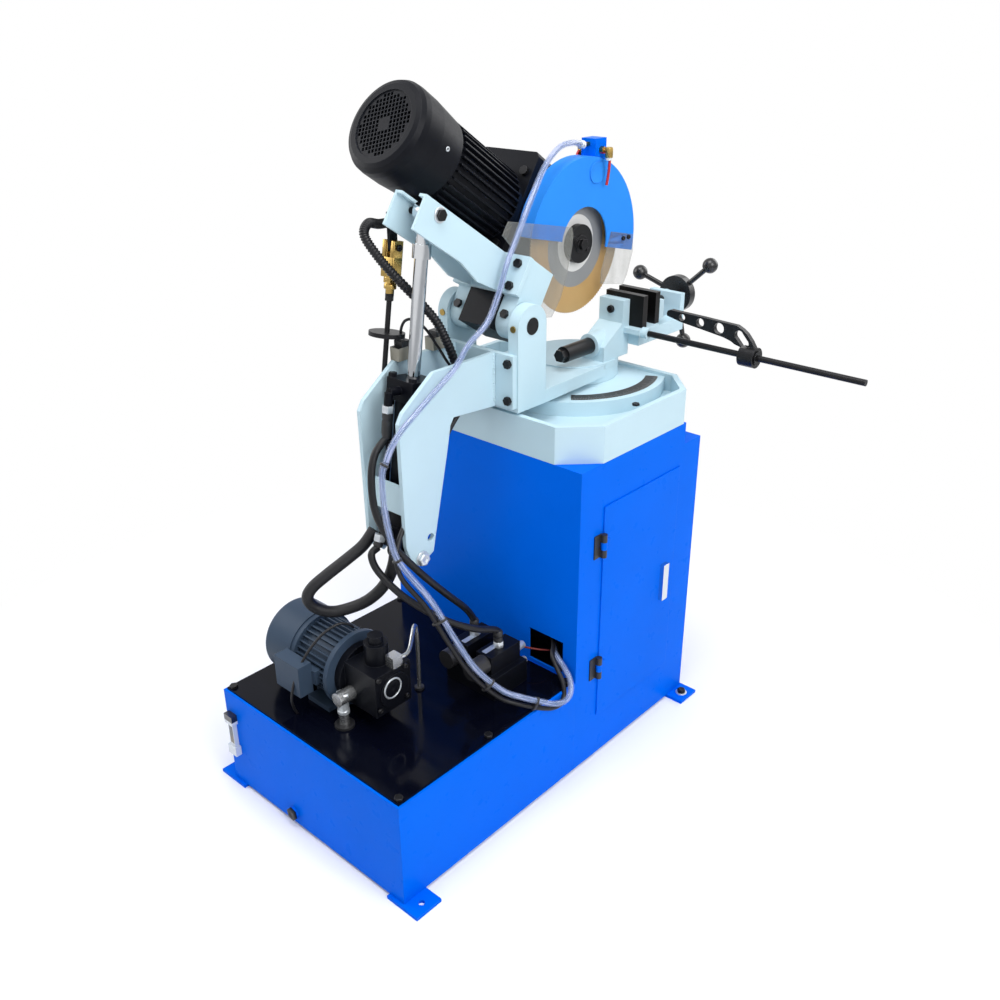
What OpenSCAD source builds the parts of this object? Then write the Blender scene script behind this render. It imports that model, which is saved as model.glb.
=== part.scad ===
// Semi-automatic circular cold saw on a steel cabinet with an oil tank.
// Millimetres. Origin: centre of the four anchor holes, on the floor.
// +X points away from the door side, +Y to the tank end, +Z up.

/* [Base] */
// Width of the tank and of the cabinet
base_w = 590; // [540:5:640]
// Length of the oil tank
tank_l = 555; // [525:5:600]
// Height of the oil tank
tank_h = 253; // [240:1:265]
// Depth of the cabinet
cab_d = 465; // [455:1:480]
// Height of the cabinet
cab_h = 783; // [770:1:800]
// Sheet thickness of the tank and the cabinet
wall = 4; // [3:0.5:5]
// Thickness of the foot plates
foot_t = 8; // [6:1:12]
// Diameter of the anchor holes
anchor_d = 14; // [10:1:18]
// Height of the cast tray
tray_h = 85; // [75:1:95]
// Cut corner of the tray
tray_cut = 75; // [60:1:85]

/* [Door] */
// Width of the door
door_w = 295; // [270:5:310]
// Height of the door
door_h = 559; // [500:1:575]
// Length of the latch handle
latch_l = 99; // [80:1:110]

/* [Turntable] */
// Radius of the swivel disc
swivel_r = 111; // [105:1:118]
// Distance from the swivel axis back to the head pivot
pivot_back = 288; // [280:1:296]
// Height of the head pivot above the tray platform
pivot_rise = 196; // [190:1:205]
// Diameter of the pivot shaft
pivot_d = 37; // [30:1:42]
// Gap between the two ears
ear_gap = 180; // [176:1:190]
// Reach of the bracket behind the ears
brk_reach = 283; // [275:1:295]
// Height of the bracket plates
brk_h = 420; // [410:1:430]

/* [Head] */
// Tilt of the motor axis in the drawn position
head_tilt = 33.3; // [30:0.1:36]
// Diameter of the saw blade
blade_d = 325; // [300:5:330]
// Thickness of the saw blade
blade_t = 2.5; // [2:0.5:3]
// Number of blade teeth
blade_teeth = 140; // [100:10:180]
// Outer radius of the blade guard
guard_r = 193; // [188:1:198]
// Width of the blade guard
guard_w = 43; // [40:1:46]
// Radius of the motor body over its fins
motor_r = 93; // [88:1:96]
// Length of the finned motor body
motor_l = 223; // [210:1:235]
// Length of the motor fan cover
cover_l = 136; // [125:1:145]
// Length of the lever arm
lever_l = 288; // [280:1:300]
// Diameter of the piston rod
rod_d = 28; // [22:1:32]
// Outer diameter of the cylinder barrel
barrel_d = 68; // [60:1:72]

/* [Vise] */
// Height of the jaw plates
jaw_h = 76; // [60:1:80]
// Length of the jaw plates
jaw_l = 109; // [90:1:120]
// Opening between the jaws as drawn
jaw_gap = 34; // [20:1:36]
// Radius of the ball circle of the handwheel
wheel_r = 122; // [100:1:130]
// Diameter of the ball knobs
ball_d = 38; // [30:1:42]
// Length of the stop rod
stop_l = 550; // [450:10:560]

/* [Pump] */
// Radius of the pump motor over its fan cover
pump_r = 88; // [82:1:90]
// Length of the pump motor with its cover
pump_l = 212; // [200:1:225]
// Edge of the pump block
pump_block = 100; // [90:1:106]

/* [Hidden] */
$fn = 64;
over = 1;
run_gap = 0.08;
gap = 0.3;

// Ground chain
half_l = (tank_l + cab_d) / 2;
cab_back_y = half_l - tank_l;
floor_z = foot_t;
tank_top_z = floor_z + tank_h;
deck_z = floor_z + cab_h;
rim_z = deck_z + tray_h;
foot_l = 90;
foot_w = 70;
foot_out = 46;
foot_end_out = 8;
anchor_x = base_w / 2 + foot_out / 2;
anchor_y = half_l + foot_end_out - foot_w / 2;

// Tank values
tank_rim = 26;
lid_t = 5;
lid_inset = 6;
lid_z = tank_top_z + lid_t;
lid_bolt_r = 4;
lid_bolt_head_r = 9.5;
lid_bolt_head_h = 6;
lid_bolt_inset = 17;
lid_bolt_l = 14;
lid_bolt_shares = [0, 0.5, 1];
drain_x = 64;
drain_z = 35;
drain_r = 14;
drain_out = 8;
drain_hex_r = 6;
drain_hex_h = 5;
gauge_side = 25;
gauge_x = base_w / 2 - gauge_side;
gauge_z = 151;
gauge_h = 112;
gauge_w = 30;
gauge_t = 15;
gauge_end_h = 24;
gauge_glass_w = 18;
gauge_glass_t = 11;

// Cabinet values
step_d = 69;
step_drop = 54;
door_rear_in = 83;
door_low_share = 0.5267857;
door_lap = 6;
door_t = 3;
door_face_x = -base_w / 2 - gap;
door_rear_y = cab_back_y - door_rear_in;
door_front_y = door_rear_y - door_w;
door_z = floor_z + (cab_h - door_h) * door_low_share;
door_fold = 14;
opening_w = 102;
opening_h = 83;
opening_x = -205;
opening_z = 272;
hinge_r = 7;
hinge_pin_r = 3;
hinge_h = 57;
hinge_out = 9;
hinge_leaf = 26;
hinge_leaf_t = 3;
hinge_side = 6;
hinge_x = -base_w / 2 - hinge_out;
hinge_y = door_rear_y + hinge_side;
hinge_low = 115;
hinge_high = 440;
knuckle_h = hinge_h / 3;
latch_in = 45;
latch_up = 278;
latch_w = 22;
latch_t = 11;
latch_shaft_r = 6;
latch_pivot_share = 0.62;
latch_cam_l = 25;
latch_cam_t = 4;
latch_cam_w = 14;
latch_cam_x = 10;
latch_y = door_front_y + latch_in;
latch_z = door_z + latch_up;
panel_t = 3;
panel_l = 300;
panel_h = 380;
panel_z = 260;
panel_off = 6;
panel_rear = 345;
panel_y = cab_back_y - panel_rear;
device_t = 70;
device_h = 85;
device_w = 60;
device_pitch = 84;
coolant_l = 240;
coolant_w = 250;
coolant_h = 150;
coolant_rear = 355;
coolant_y = cab_back_y - coolant_rear;
cool_motor_r = 55;
cool_motor_h = 130;
cool_neck_r = 35;
cool_neck_h = 60;

// Tray and turntable values
tray_front_in = 5;
tray_rim_w = 14;
tray_floor = 44;
platform_r = 225;
platform_drop = 7;
platform_z = rim_z - platform_drop;
tray_drain_r = 16;
tray_drain_side = 70;
tray_drain_rear = 75;
tray_drain_x = base_w / 2 - tray_drain_side;
tray_drain_y = cab_back_y - tray_drain_rear;
swivel_in = 132;
swivel_y = -half_l + swivel_in;
scale_r = 209;
scale_band = 29;
scale_t = 2;
scale_from = 128;
scale_sweep = 80;
post_r = 55;
swivel_t = 31;
swivel_top_z = platform_z + gap + swivel_t;
ring_t = 14.4;
ring_z = swivel_top_z + gap;
ring_top_z = ring_z + ring_t;
ear_t = 28;
ear_r = 46;
ear_x = ear_gap / 2;
leg_rise = 13;
leg_z = platform_z + leg_rise;
leg_t = 30;
beam_h = 63;
pivot_r = pivot_d / 2;
pivot_y = swivel_y + pivot_back;
pivot_z = platform_z + pivot_rise;
shaft_out = 1;
grub_r = 7;
grub_out = 2;
grub_in = 10;

// Bracket values
brk_y = pivot_y + ear_r;
brk_plate_x = 53;
brk_plate_t = 10;
brk_flange_t = 12;
brk_drop = 54;
brk_top_z = pivot_z - brk_drop;
brk_flange_low = 118;
brk_flange_w = 228;
brk_shares = [[0, 1], [0.644, 1], [0.955, 0.85], [1, 0.8], [0.986, 0.14], [0.94, 0.05],
    [0.852, 0], [0.71, 0.052], [0.53, 0.574], [0.491, 0.7], [0.456, 0.736], [0, 0.712]];
brk_hole_back = 208;
brk_hole_low = 362;
brk_hole_r = 9;
brk_strip_h = 64;
brk_strip_t = 9;
bolt_r = 6;
bolt_head_r = 10;
bolt_head_h = 8;
brk_bolt_x = 102;
brk_bolt_in = 18;
base_pin_r = 8;
cyl_base_back = 294;
cyl_base_drop = 456;
cyl_base_y = pivot_y + cyl_base_back;
cyl_base_z = pivot_z - cyl_base_drop;
switch_l = 46;
switch_w = 26;
switch_h = 28;
switch_head_h = 12;
switch_head_l = 24;
switch_back = [58, 158];
plunger_r = 4;
plunger_out = 4;
plunger_in = 6;
trip_x = 75;
guide_w = 34;
guide_t = 8;
guide_drop = 135;
guide_back = 259.5;
guide_half = 18;
guide_slot_r = 9.5;

// Head values, in the head's own frame: u along the motor axis, v square to it
hub_u = -179;
hub_v = 253;
box_x = 18;
box_w = 170;
box_front_u = -250;
box_rear_u = 25;
box_low_v = 140;
box_h = 229;
box_wall = 12;
box_edge = 10;
neck_w = 92;
neck_low = 34;
neck_front_u = -58;
neck_rear_u = 45;
neck_web_x = 130;
neck_web_v = 130;
neck_shoulder_v = 50;
neck_slope_v = 110;
knuckle_t = 42;
knuckle_r = 38;
knuckle_top_v = 128;
knuckle_x = neck_w / 2;
lever_w = 86;
lever_t = 6;
lever_low_v = 48;
lever_deep = 72;
lever_flange_t = 12;
lever_flange_w = 184;
lever_flange_low_v = 43;
lever_flange_h = 85;
lever_notch_w = 48;
lever_notch_l = 84;
lever_pin_back = 51;
lever_pin_up = 54;
lever_pin_r = 7;
lever_pin_head_r = 12;
lever_pin_head_h = 9;
gusset_l = 70;
gusset_h = 14;
lever_u = neck_rear_u + lever_flange_t;
lever_end_u = lever_u + lever_l;
lever_pin_u = lever_end_u - lever_pin_back;
lever_pin_v = lever_low_v + lever_pin_up;
lever_bolt_x = 68;
lever_bolt_low = 15;
lever_bolt_high = 65;
lever_bolt_vs = [lever_flange_low_v + lever_bolt_low, lever_flange_low_v + lever_bolt_high];
knuckle_bolt_v = 2;
box_bolt_x = 22;
box_bolt_high = 47;
box_bolt_low = 12;

// Motor and drive values
motor_x = 103;
motor_v = 232;
motor_flange_t = 13;
motor_flange_r = 90;
motor_core_r = 82;
motor_shield_t = 12;
fin_n = 36;
fin_t = 3.4;
cover_r = 100;
cover_t = 2.5;
cover_shares = [[0.935, 0], [0.995, 0.5], [1, 0.8], [0.985, 0.9], [0.93, 0.97], [0.835, 1]];
grille_r = 71;
grille_pitch = 9;
grille_hole = 7;
grille_half_n = 8;
grille_turn = 17;
term_w = 64;
term_l = 56;
term_out = 109.5;
vent_r = 66;
vent_pitch = 13;
vent_hole = 9.5;
vent_half_n = 5;
shaft_r = 12;
stator_r = 56;
rotor_r = 55;
rotor_from_u = 60;
rotor_l = 110;
fan_r = 70;
fan_t = 14;
fan_u = 272;
pinion_r = 15;
gear_r = 25;
gear_t = 20;
gear_u = -15;
worm_r = 16;
worm_l = 70;
wheel_gear_r = 45;
wheel_gear_t = 26;
mesh_gap = 0.4;
worm_v = motor_v - pinion_r - gear_r;
motor_end_u = box_rear_u + motor_l;
spindle_r = 20;
nose_r = 16;
flange_r = 44;
flange_t = 8;
outer_flange_t = 15;
flange_washer_r = 20;
flange_washer_t = 3;
flange_nut_r = 13;
flange_nut_t = 9;
flange_screw_r = 5;
flange_screw_at = 30;
flange_screw_t = 3;
spindle_end = 182;
tooth_h = 3.2;

// Guard, shield and coolant values
guard_near_x = -27;
guard_t = 3;
guard_cut = 20.64;
arch_r = 84;
guard_hole_r = 58;
stud_r = 9;
stud_shares = [[0, 0.52], [0.51, 0.24], [-0.29, 0.45]];
shield_t = 3;
rear_shield_shares = [[1.44, 0.15], [1.5, 0], [1.18, -0.21], [0.7, -0.47], [0.76, -0.78], [0.6, -0.88],
    [0.43, -0.87], [0.32, -0.65], [0.27, -0.4], [0.25, -0.1], [0.26, 0.08], [0.305, 0.176]];
front_shield_shares = [[-0.49, 0.186], [-0.947, 0.19], [-1.01, 0], [-0.97, -0.3], [-0.918, -0.43],
    [-0.447, -0.445], [-0.42, -0.3]];
manifold_w = 40;
manifold_l = 40;
manifold_h = 50;
manifold_ahead = 52;
manifold_sink = 8;
barb_r = 5;
barb_l = 26;
barb_up = 38;
nut_r = 8;
nut_l = 10;
nut_up = 25;
tube_r = 3.2;
tube_near = [[0, 0, 0], [-8, 0, -2], [-14, -2, -14], [-13, -4, -34], [-9, -6, -58], [-5, -7, -76]];
tube_far = [[0, 0, 0], [7, 3, -3], [10, 10, -12], [7, 16, -22]];

// Cylinder values along the rod, measured from the lever pin
rod_r = rod_d / 2;
eye_r = 20;
eye_w = 26;
lock_from = 60;
lock_l = 28;
lock_r = 19;
piston_from = 480;
piston_t = 20;
piston_r = 26;
barrel_from = 330;
barrel_bore_r = 27;
gland_w = 76;
gland_h = 45;
cap_h = 36;
cap_w = 72;
tie_r = 6;
tie_in = 30;
tie_nut_r = 9;
tie_nut_h = 9;
lug_r = 25;
lug_w = 40;
lug_play = 4;
port_r = 9;
port_out = 66;
port_low = 42;
lever_pin_y = pivot_y + lever_pin_u * cos(head_tilt) - lever_pin_v * sin(head_tilt);
lever_pin_z = pivot_z + lever_pin_u * sin(head_tilt) + lever_pin_v * cos(head_tilt);
cyl_l = norm([cyl_base_y - lever_pin_y, cyl_base_z - lever_pin_z]);
cyl_lean = atan2(cyl_base_y - lever_pin_y, lever_pin_z - cyl_base_z);

// Trip linkage values
trip_back = 209;
trip_up = 173;
trip_y = pivot_y + trip_back;
trip_z = pivot_z + trip_up;
guide_y = pivot_y + guide_back;
guide_z = pivot_z - guide_drop;
trip_lean = atan2(guide_y - trip_y, trip_z - guide_z);
tongue_t = 8;
tongue_w = 20;
link_t = 9;
link_w = 34;
link_h = 42;
link_up = 34;
link_back = -2;
clevis_w = 20;
clevis_slot = 9;
clevis_deep = 24;
clevis_up = 13;
clevis_l = 72;
trip_pin_r = 4;
shank_r = 9;
shank_l = 26;
trip_rod_r = 5.5;
trip_rod_l = 400;
collar_r = 38;
collar_t = 9;
collar_at = 176;
lock_nut_r = 9;
lock_nut_t = 10;

// Vise values
bed_rise = 115;
bed_z = platform_z + bed_rise;
bed_t = 13;
vise_in = 34;
jaw_t = 17;
jaw_front_of_axis = 100;
jaw_face_y = swivel_y - jaw_front_of_axis;
jaw_back_y = jaw_face_y + jaw_t;
jaw_far_x = -vise_in - jaw_l;
column_t = 68;
column_rear = 13;
column_top = 12;
column_low_top = 34;
column_bend = 10;
column_slope = 26;
column_in = 2;
column_far_x = -vise_in - column_in - column_t;
bed_past_jaw = 7;
bed_far_x = jaw_far_x - bed_past_jaw;
bed_front = 42;
bed_front_y = jaw_face_y - bed_front;
bed_rear = 21;
bed_rear_y = jaw_back_y + bed_rear;
bar_x = -64;
bar_r = 19;
bar_drop = 34;
bar_z = bed_z - bar_drop;
boss_r = 28;
boss_out = 6;
bar_rear = 192;
bar_end_r = 15;
bar_end_l = 16;
carrier_t = 41;
carrier_w = 94;
carrier_h = 46;
slide_gap = 0.4;
carrier_leg_t = 14;
screw_x = -78;
screw_rise = 27;
screw_z = bed_z + screw_rise;
screw_r = 9;
screw_play = 0.3;
rail_w = 40;
rail_far_x = -135;
rail_h = 31;
upright_t = 18;
upright_front = 172;
upright_y = jaw_face_y - upright_front;
upright_w = 92;
upright_top = 48;
nut_boss_r = 20;
nut_boss_t = 8;
jaw_move_y = jaw_face_y - jaw_gap;
carrier_back_y = jaw_move_y - jaw_t;
carrier_y = carrier_back_y - carrier_t;
wheel_room = 36;
wheel_y = upright_y - nut_boss_t - wheel_room;
hub_disc_r = 46;
hub_disc_t = 22;
spoke_r = 6.5;
spoke_n = 3;
spoke_turn = 17;
hub_boss_r = 20;
hub_boss_t = 12;
ball_r = ball_d / 2;

// Stop values
stop_rear = 6;
stop_y = jaw_back_y + stop_rear;
stop_drop = 7;
stop_z = bed_z - stop_drop;
stop_r = 7;
stop_boss_r = 13;
stop_boss_l = 16;
stop_x = bed_far_x - stop_boss_l;
stop_end_x = stop_x - stop_l + stop_boss_l;
bush_at = 266;
bush_x = stop_x - bush_at;
bush_r = 12;
bush_l = 38;
bush_lip_r = 16;
bush_lip_t = 3;
stop_hub_r = 23;
stop_arm_t = 12;
stop_arm_l = 216;
stop_arm_h = 73;
stop_arm_shares = [[-0.079, 0], [-0.079, 0.19], [-0.06, 0.33], [-0.023, 0.49], [0.037, 0.685], [0.093, 0.795],
    [0.157, 0.877], [0.556, 0.918], [0.954, 0.945], [0.99, 0.904], [1, 0.822], [0.995, 0.74], [0.824, 0.63],
    [0.463, 0.5], [0.301, 0.438], [0.213, 0.37], [0.167, 0.3], [0.083, 0.24], [0.083, 0]];
stop_hole_rs = [8, 10, 12.5];
stop_hole_shares = [[0.81, 0.78], [0.588, 0.733], [0.361, 0.679]];
stop_oval_shares = [[0.0556, 0.384], [0.125, 0.603]];
stop_oval_r = 10.5;

// Pump values
pump_end = 173;
pump_side = 395;
pump_y = half_l - pump_end;
pump_x = base_w / 2 - pump_side;
pump_rise = 93;
pump_z = lid_z + pump_rise;
bell_r = 66;
bell_l = 29;
pump_motor_x = pump_x + pump_block + bell_l;
pump_flange_t = 12;
pump_core_r = 70;
pump_fin_r = 79;
pump_cover_l = 92;
pump_cover_round = 12;
pump_foot_w = 140;
pump_foot_l = 96;
pump_foot_t = 12;
pump_foot_in = 22;
pump_stem_w = 70;
box_out = 36;
box_l = 84;
box_rise = 76;
box_neck = 34;
plate_r = 40;
plate_t = 5;
adjuster_r = 26;
adjuster_h = 48;
adjuster_cap_r = 17;
adjuster_cap_h = 18;
pump_rotor_r = 50;
pump_bore_r = 51;
pump_shaft_r = 10;
pump_fan_r = 62;
pump_fan_t = 12;
pump_fan_in = 26;
suction_in = 80;
suction_x = pump_x + suction_in;
suction_out = 26;
suction_r = 11;
suction_rise = 74;
elbow_r = 16;
grommet_r = 22;
grommet_t = 6;
pressure_r = 4.5;
pressure_in = 56;
pressure_back = 125;
pressure_foot_x = pump_x + pressure_in;
pressure_foot_y = pump_y - pressure_back;
pressure_arc = 34;
pressure_up = 174;
pressure_block_w = 26;

// Valve values
valve_x = -206;
valve_rear = 69;
valve_y = cab_back_y + valve_rear;
valve_w = 150;
valve_l = 110;
valve_h = 58;
spool_w = 46;
spool_l = 96;
spool_h = 46;
spool_pitch = 74;
spool_in = 15;
coil_r = 22;
coil_l = 46;
coil_n = 2;
hose_end_l = 22;

// Hose values
hose_r = 7.5;
hose_sides = 10;
hose_steps = 5;
oil_hose_r = 8;
bundle_r = 13;
conduit_r = 10;
conduit_bore_r = 7.5;
conduit_rib = 1.6;
conduit_steps = 10;
conduit_sides = 8;

// Colours as the photo shows them
blue = [0.11, 0.36, 0.75];
light_grey = [0.78, 0.82, 0.87];
black = [0.06, 0.06, 0.07];
dark = [0.16, 0.16, 0.17];
steel = [0.72, 0.73, 0.75];
brass = [0.78, 0.6, 0.28];
gold = [0.78, 0.6, 0.25];
slate = [0.27, 0.33, 0.4];
clear = [0.85, 0.9, 0.92, 0.4];
beige = [0.8, 0.77, 0.68];
red = [0.75, 0.12, 0.1];

// Helpers
module span(a, b) {
    translate(a) cube(b - a);
}

module along_x(r, x0, x1, y, z) {
    translate([x0, y, z]) rotate([0, 90, 0]) cylinder(r = r, h = x1 - x0);
}

module along_y(r, y0, y1, x, z) {
    translate([x, y0, z]) rotate([-90, 0, 0]) cylinder(r = r, h = y1 - y0);
}

module along_z(r, z0, z1, x, y) {
    translate([x, y, z0]) cylinder(r = r, h = z1 - z0);
}

// A flat outline in (y, z), drawn out from x0 to x1
module slab_x(x0, x1) {
    translate([x0, 0, 0]) rotate([90, 0, 90]) linear_extrude(height = x1 - x0) children();
}

// A flat outline in (x, z), drawn out from y0 to y1
module slab_y(y0, y1) {
    translate([0, y1, 0]) rotate([90, 0, 0]) linear_extrude(height = y1 - y0) children();
}

module hex_x(r, x0, x1, y, z) {
    translate([x0, y, z]) rotate([0, 90, 0]) cylinder(r = r, h = x1 - x0, $fn = 6);
}

module hex_y(r, y0, y1, x, z) {
    translate([x, y0, z]) rotate([-90, 0, 0]) cylinder(r = r, h = y1 - y0, $fn = 6);
}

module in_head() {
    translate([0, pivot_y, pivot_z]) rotate([head_tilt, 0, 0]) children();
}

// The guard's frame: y along the cut edge of the guard, z square to it
module in_guard() {
    in_head() translate([0, hub_u, hub_v]) rotate([-guard_cut, 0, 0]) children();
}

module on_cylinder() {
    translate([0, lever_pin_y, lever_pin_z]) rotate([cyl_lean, 0, 0]) children();
}

module on_trip() {
    translate([trip_x, trip_y, trip_z]) rotate([trip_lean, 0, 0]) children();
}

module both_sides() {
    children();
    mirror([1, 0, 0]) children();
}

module ring_of_fins(core_r, fin_r, n, t) {
    circle(r = core_r);
    for (i = [0 : n - 1]) {
        rotate(i * 360 / n) translate([0, -t / 2]) square([fin_r, t]);
    }
}

function scaled(list, a, b) = [for (p = list) [p[0] * a, p[1] * b]];

// Cord helpers: a smooth curve through the route points, and one tube along it
function last(list) = list[len(list) - 1];
function unit(v) = v / norm(v);
function spline_at(a, b, c, d, t) =
    ((2 * b) + (c - a) * t + (2 * a - 5 * b + 4 * c - d) * t * t + (3 * b - a - 3 * c + d) * t * t * t) / 2;
function smooth_route(p, n) = [
    for (i = [0 : len(p) - 2], k = [0 : n - 1])
        spline_at(p[max(i - 1, 0)], p[i], p[i + 1], p[min(i + 2, len(p) - 1)], k / n),
    last(p)
];
function heading(p, i) = unit(p[min(i + 1, len(p) - 1)] - p[max(i - 1, 0)]);
function side_of(t, ref) = unit(cross(t, ref));
function ring_points(c, t, r, n, ref) = [
    for (k = [0 : n - 1])
        let (s = side_of(t, ref), u = cross(s, t), a = 360 * k / n)
        c + r * (cos(a) * s + sin(a) * u)
];
function tube_faces(rings, n) = [
    for (i = [0 : rings - 2], k = [0 : n - 1])
        each let (a = i * n + k, b = i * n + (k + 1) % n) [[a, b, b + n], [a, b + n, a + n]]
];
function cap_faces(first, n, turned) = [
    for (k = [1 : n - 2]) turned ? [first, first + k, first + k + 1] : [first, first + k + 1, first + k]
];

module cord(route, r, ref, steps = hose_steps) {
    p = smooth_route(route, steps);
    n = hose_sides;
    m = len(p);
    points = [for (i = [0 : m - 1]) each ring_points(p[i], heading(p, i), r, n, ref)];
    polyhedron(points, concat(tube_faces(m, n), cap_faces(0, n, false), cap_faces((m - 1) * n, n, true)));
}

// A ribbed conduit with a bore: each rib is a wide ring after a narrow one
module ribbed(route, r, rib, bore_r, ref) {
    p = smooth_route(route, conduit_steps);
    n = conduit_sides;
    m = len(p);
    outer = [for (i = [0 : m - 1])
        each ring_points(p[i], heading(p, i), i % 2 == 0 ? r : r - rib, n, ref)];
    inner = [for (i = [0 : m - 1]) each ring_points(p[i], heading(p, i), bore_r, n, ref)];
    outside = tube_faces(m, n);
    inside = [for (f = tube_faces(m, n)) [f[2] + m * n, f[1] + m * n, f[0] + m * n]];
    ends = [for (k = [0 : n - 1])
        each let (j = (k + 1) % n, e = (m - 1) * n, q = m * n)
        [[k, q + k, q + j], [k, q + j, j], [e + k, e + j, e + q + j], [e + k, e + q + j, e + q + k]]];
    polyhedron(concat(outer, inner), concat(outside, inside, ends));
}

// Base
module anchor_feet() {
    color(blue)
    for (sx = [-1, 1], sy = [-1, 1]) {
        difference() {
            translate([sx * (base_w / 2 + foot_out - foot_l / 2) - foot_l / 2,
                       sy * anchor_y - foot_w / 2, 0])
                cube([foot_l, foot_w, foot_t]);
            along_z(anchor_d / 2, -over, foot_t + over, sx * anchor_x, sy * anchor_y);
        }
    }
}

lid_bolt_places = [for (sx = [-1, 1], s = lid_bolt_shares)
    [sx * (base_w / 2 - lid_bolt_inset),
     cab_back_y + lid_bolt_inset + s * (tank_l - 2 * lid_bolt_inset)]];

module tank() {
    color(blue) {
        difference() {
            span([-base_w / 2, cab_back_y, floor_z], [base_w / 2, half_l, tank_top_z]);
            span([-base_w / 2 + wall, cab_back_y + wall, floor_z + wall],
                 [base_w / 2 - wall, half_l - wall, tank_top_z - wall]);
            span([-base_w / 2 + tank_rim, cab_back_y + tank_rim, tank_top_z - wall - over],
                 [base_w / 2 - tank_rim, half_l - tank_rim, tank_top_z + over]);
            for (p = lid_bolt_places) {
                along_z(lid_bolt_r + gap, tank_top_z - wall - over, tank_top_z + over, p[0], p[1]);
            }
        }
        difference() {
            along_y(drain_r, half_l - wall / 2, half_l + drain_out, drain_x, drain_z);
            hex_y(drain_hex_r, half_l + drain_out - drain_hex_h, half_l + drain_out + over, drain_x, drain_z);
        }
    }
}

module tank_lid() {
    color(black)
    difference() {
        span([-base_w / 2 + lid_inset, cab_back_y + lid_inset, tank_top_z],
             [base_w / 2 - lid_inset, half_l - lid_inset, lid_z]);
        for (p = lid_bolt_places) {
            along_z(lid_bolt_r + gap, tank_top_z - over, lid_z + over, p[0], p[1]);
        }
    }
}

module lid_bolts() {
    color(steel)
    for (p = lid_bolt_places) {
        along_z(lid_bolt_r, lid_z - lid_bolt_l, lid_z + lid_bolt_head_h / 2, p[0], p[1]);
        translate([p[0], p[1], lid_z]) cylinder(r = lid_bolt_head_r, h = lid_bolt_head_h, $fn = 6);
    }
}

module level_gauge() {
    color(black) {
        for (s = [-1, 1]) {
            translate([gauge_x - gauge_w / 2, half_l, gauge_z + s * (gauge_h - gauge_end_h) / 2 - gauge_end_h / 2])
                cube([gauge_w, gauge_t, gauge_end_h]);
        }
        translate([gauge_x - gauge_glass_w / 2, half_l, gauge_z - gauge_h / 2 + gauge_end_h / 2])
            cube([gauge_glass_w, gauge_glass_t, gauge_h - gauge_end_h]);
    }
}

module cabinet_outline(inset) {
    front = -half_l + inset;
    back = cab_back_y - inset;
    top = deck_z - inset;
    polygon([[front, floor_z + inset], [back, floor_z + inset], [back, top], [front + step_d, top],
             [front + step_d, top - step_drop], [front, top - step_drop]]);
}

module cabinet() {
    color(blue)
    difference() {
        slab_x(-base_w / 2, base_w / 2) cabinet_outline(0);
        slab_x(-base_w / 2 + wall, base_w / 2 - wall) cabinet_outline(wall);
        span([-base_w / 2 - over, door_front_y + door_lap, door_z + door_lap],
             [-base_w / 2 + wall + over, door_rear_y - door_lap, door_z + door_h - door_lap]);
        span([opening_x - opening_w / 2, cab_back_y - wall - over, opening_z],
             [opening_x + opening_w / 2, cab_back_y + over, opening_z + opening_h]);
        along_z(tray_drain_r, deck_z - wall - over, deck_z + over, tray_drain_x, tray_drain_y);
    }
}

module hinge_leaves() {
    color(black)
    for (h = [hinge_low, hinge_high]) {
        z0 = door_z + h;
        for (k = [0, 2]) {
            along_z(hinge_r, z0 + k * knuckle_h, z0 + (k + 1) * knuckle_h - gap, hinge_x, hinge_y);
            span([hinge_x, hinge_y, z0 + k * knuckle_h],
                 [-base_w / 2, hinge_y + hinge_r, z0 + (k + 1) * knuckle_h - gap]);
        }
        along_z(hinge_pin_r, z0, z0 + hinge_h - gap, hinge_x, hinge_y);
        span([-base_w / 2 - hinge_leaf_t, hinge_y + hinge_r - over, z0],
             [-base_w / 2, hinge_y + hinge_leaf, z0 + hinge_h - gap]);
    }
}

module electrical_panel() {
    color(beige) {
        span([base_w / 2 - wall - panel_off - panel_t, panel_y, panel_z],
             [base_w / 2 - wall, panel_y + panel_l, panel_z + panel_h]);
        for (i = [0 : 2], j = [0 : 1]) {
            translate([base_w / 2 - wall - panel_off - panel_t - device_t,
                       panel_y + device_w / 2 + i * device_pitch,
                       panel_z + device_h / 2 + j * 2 * device_h])
                cube([device_t + over, device_w, device_h]);
        }
    }
}

module coolant_pump() {
    color(slate) {
        span([-coolant_w / 2, coolant_y, floor_z + wall],
             [coolant_w / 2, coolant_y + coolant_l, floor_z + wall + coolant_h]);
        along_z(cool_neck_r, floor_z + wall + coolant_h - over, floor_z + wall + coolant_h + cool_neck_h,
                0, coolant_y + coolant_l / 2);
        along_z(cool_motor_r, floor_z + wall + coolant_h + cool_neck_h - over,
                floor_z + wall + coolant_h + cool_neck_h + cool_motor_h, 0, coolant_y + coolant_l / 2);
    }
}

module tray_outline(inset) {
    x = base_w / 2 - inset;
    front = -half_l + tray_front_in + inset;
    back = cab_back_y - inset;
    cut = tray_cut - inset * (2 - sqrt(2));
    polygon([[-x + cut, front], [x - cut, front], [x, front + cut], [x, back - cut], [x - cut, back],
             [-x + cut, back], [-x, back - cut], [-x, front + cut]]);
}

module tray() {
    color(light_grey)
    difference() {
        union() {
            difference() {
                translate([0, 0, deck_z]) linear_extrude(height = tray_h) tray_outline(0);
                translate([0, 0, deck_z + tray_floor]) linear_extrude(height = tray_h) tray_outline(tray_rim_w);
            }
            intersection() {
                translate([0, 0, deck_z + tray_floor - over])
                    linear_extrude(height = platform_z - deck_z - tray_floor + over) tray_outline(tray_rim_w / 2);
                along_z(platform_r, deck_z, platform_z, 0, swivel_y);
            }
        }
        along_z(tray_drain_r, deck_z - over, rim_z, tray_drain_x, tray_drain_y);
    }
}

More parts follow.
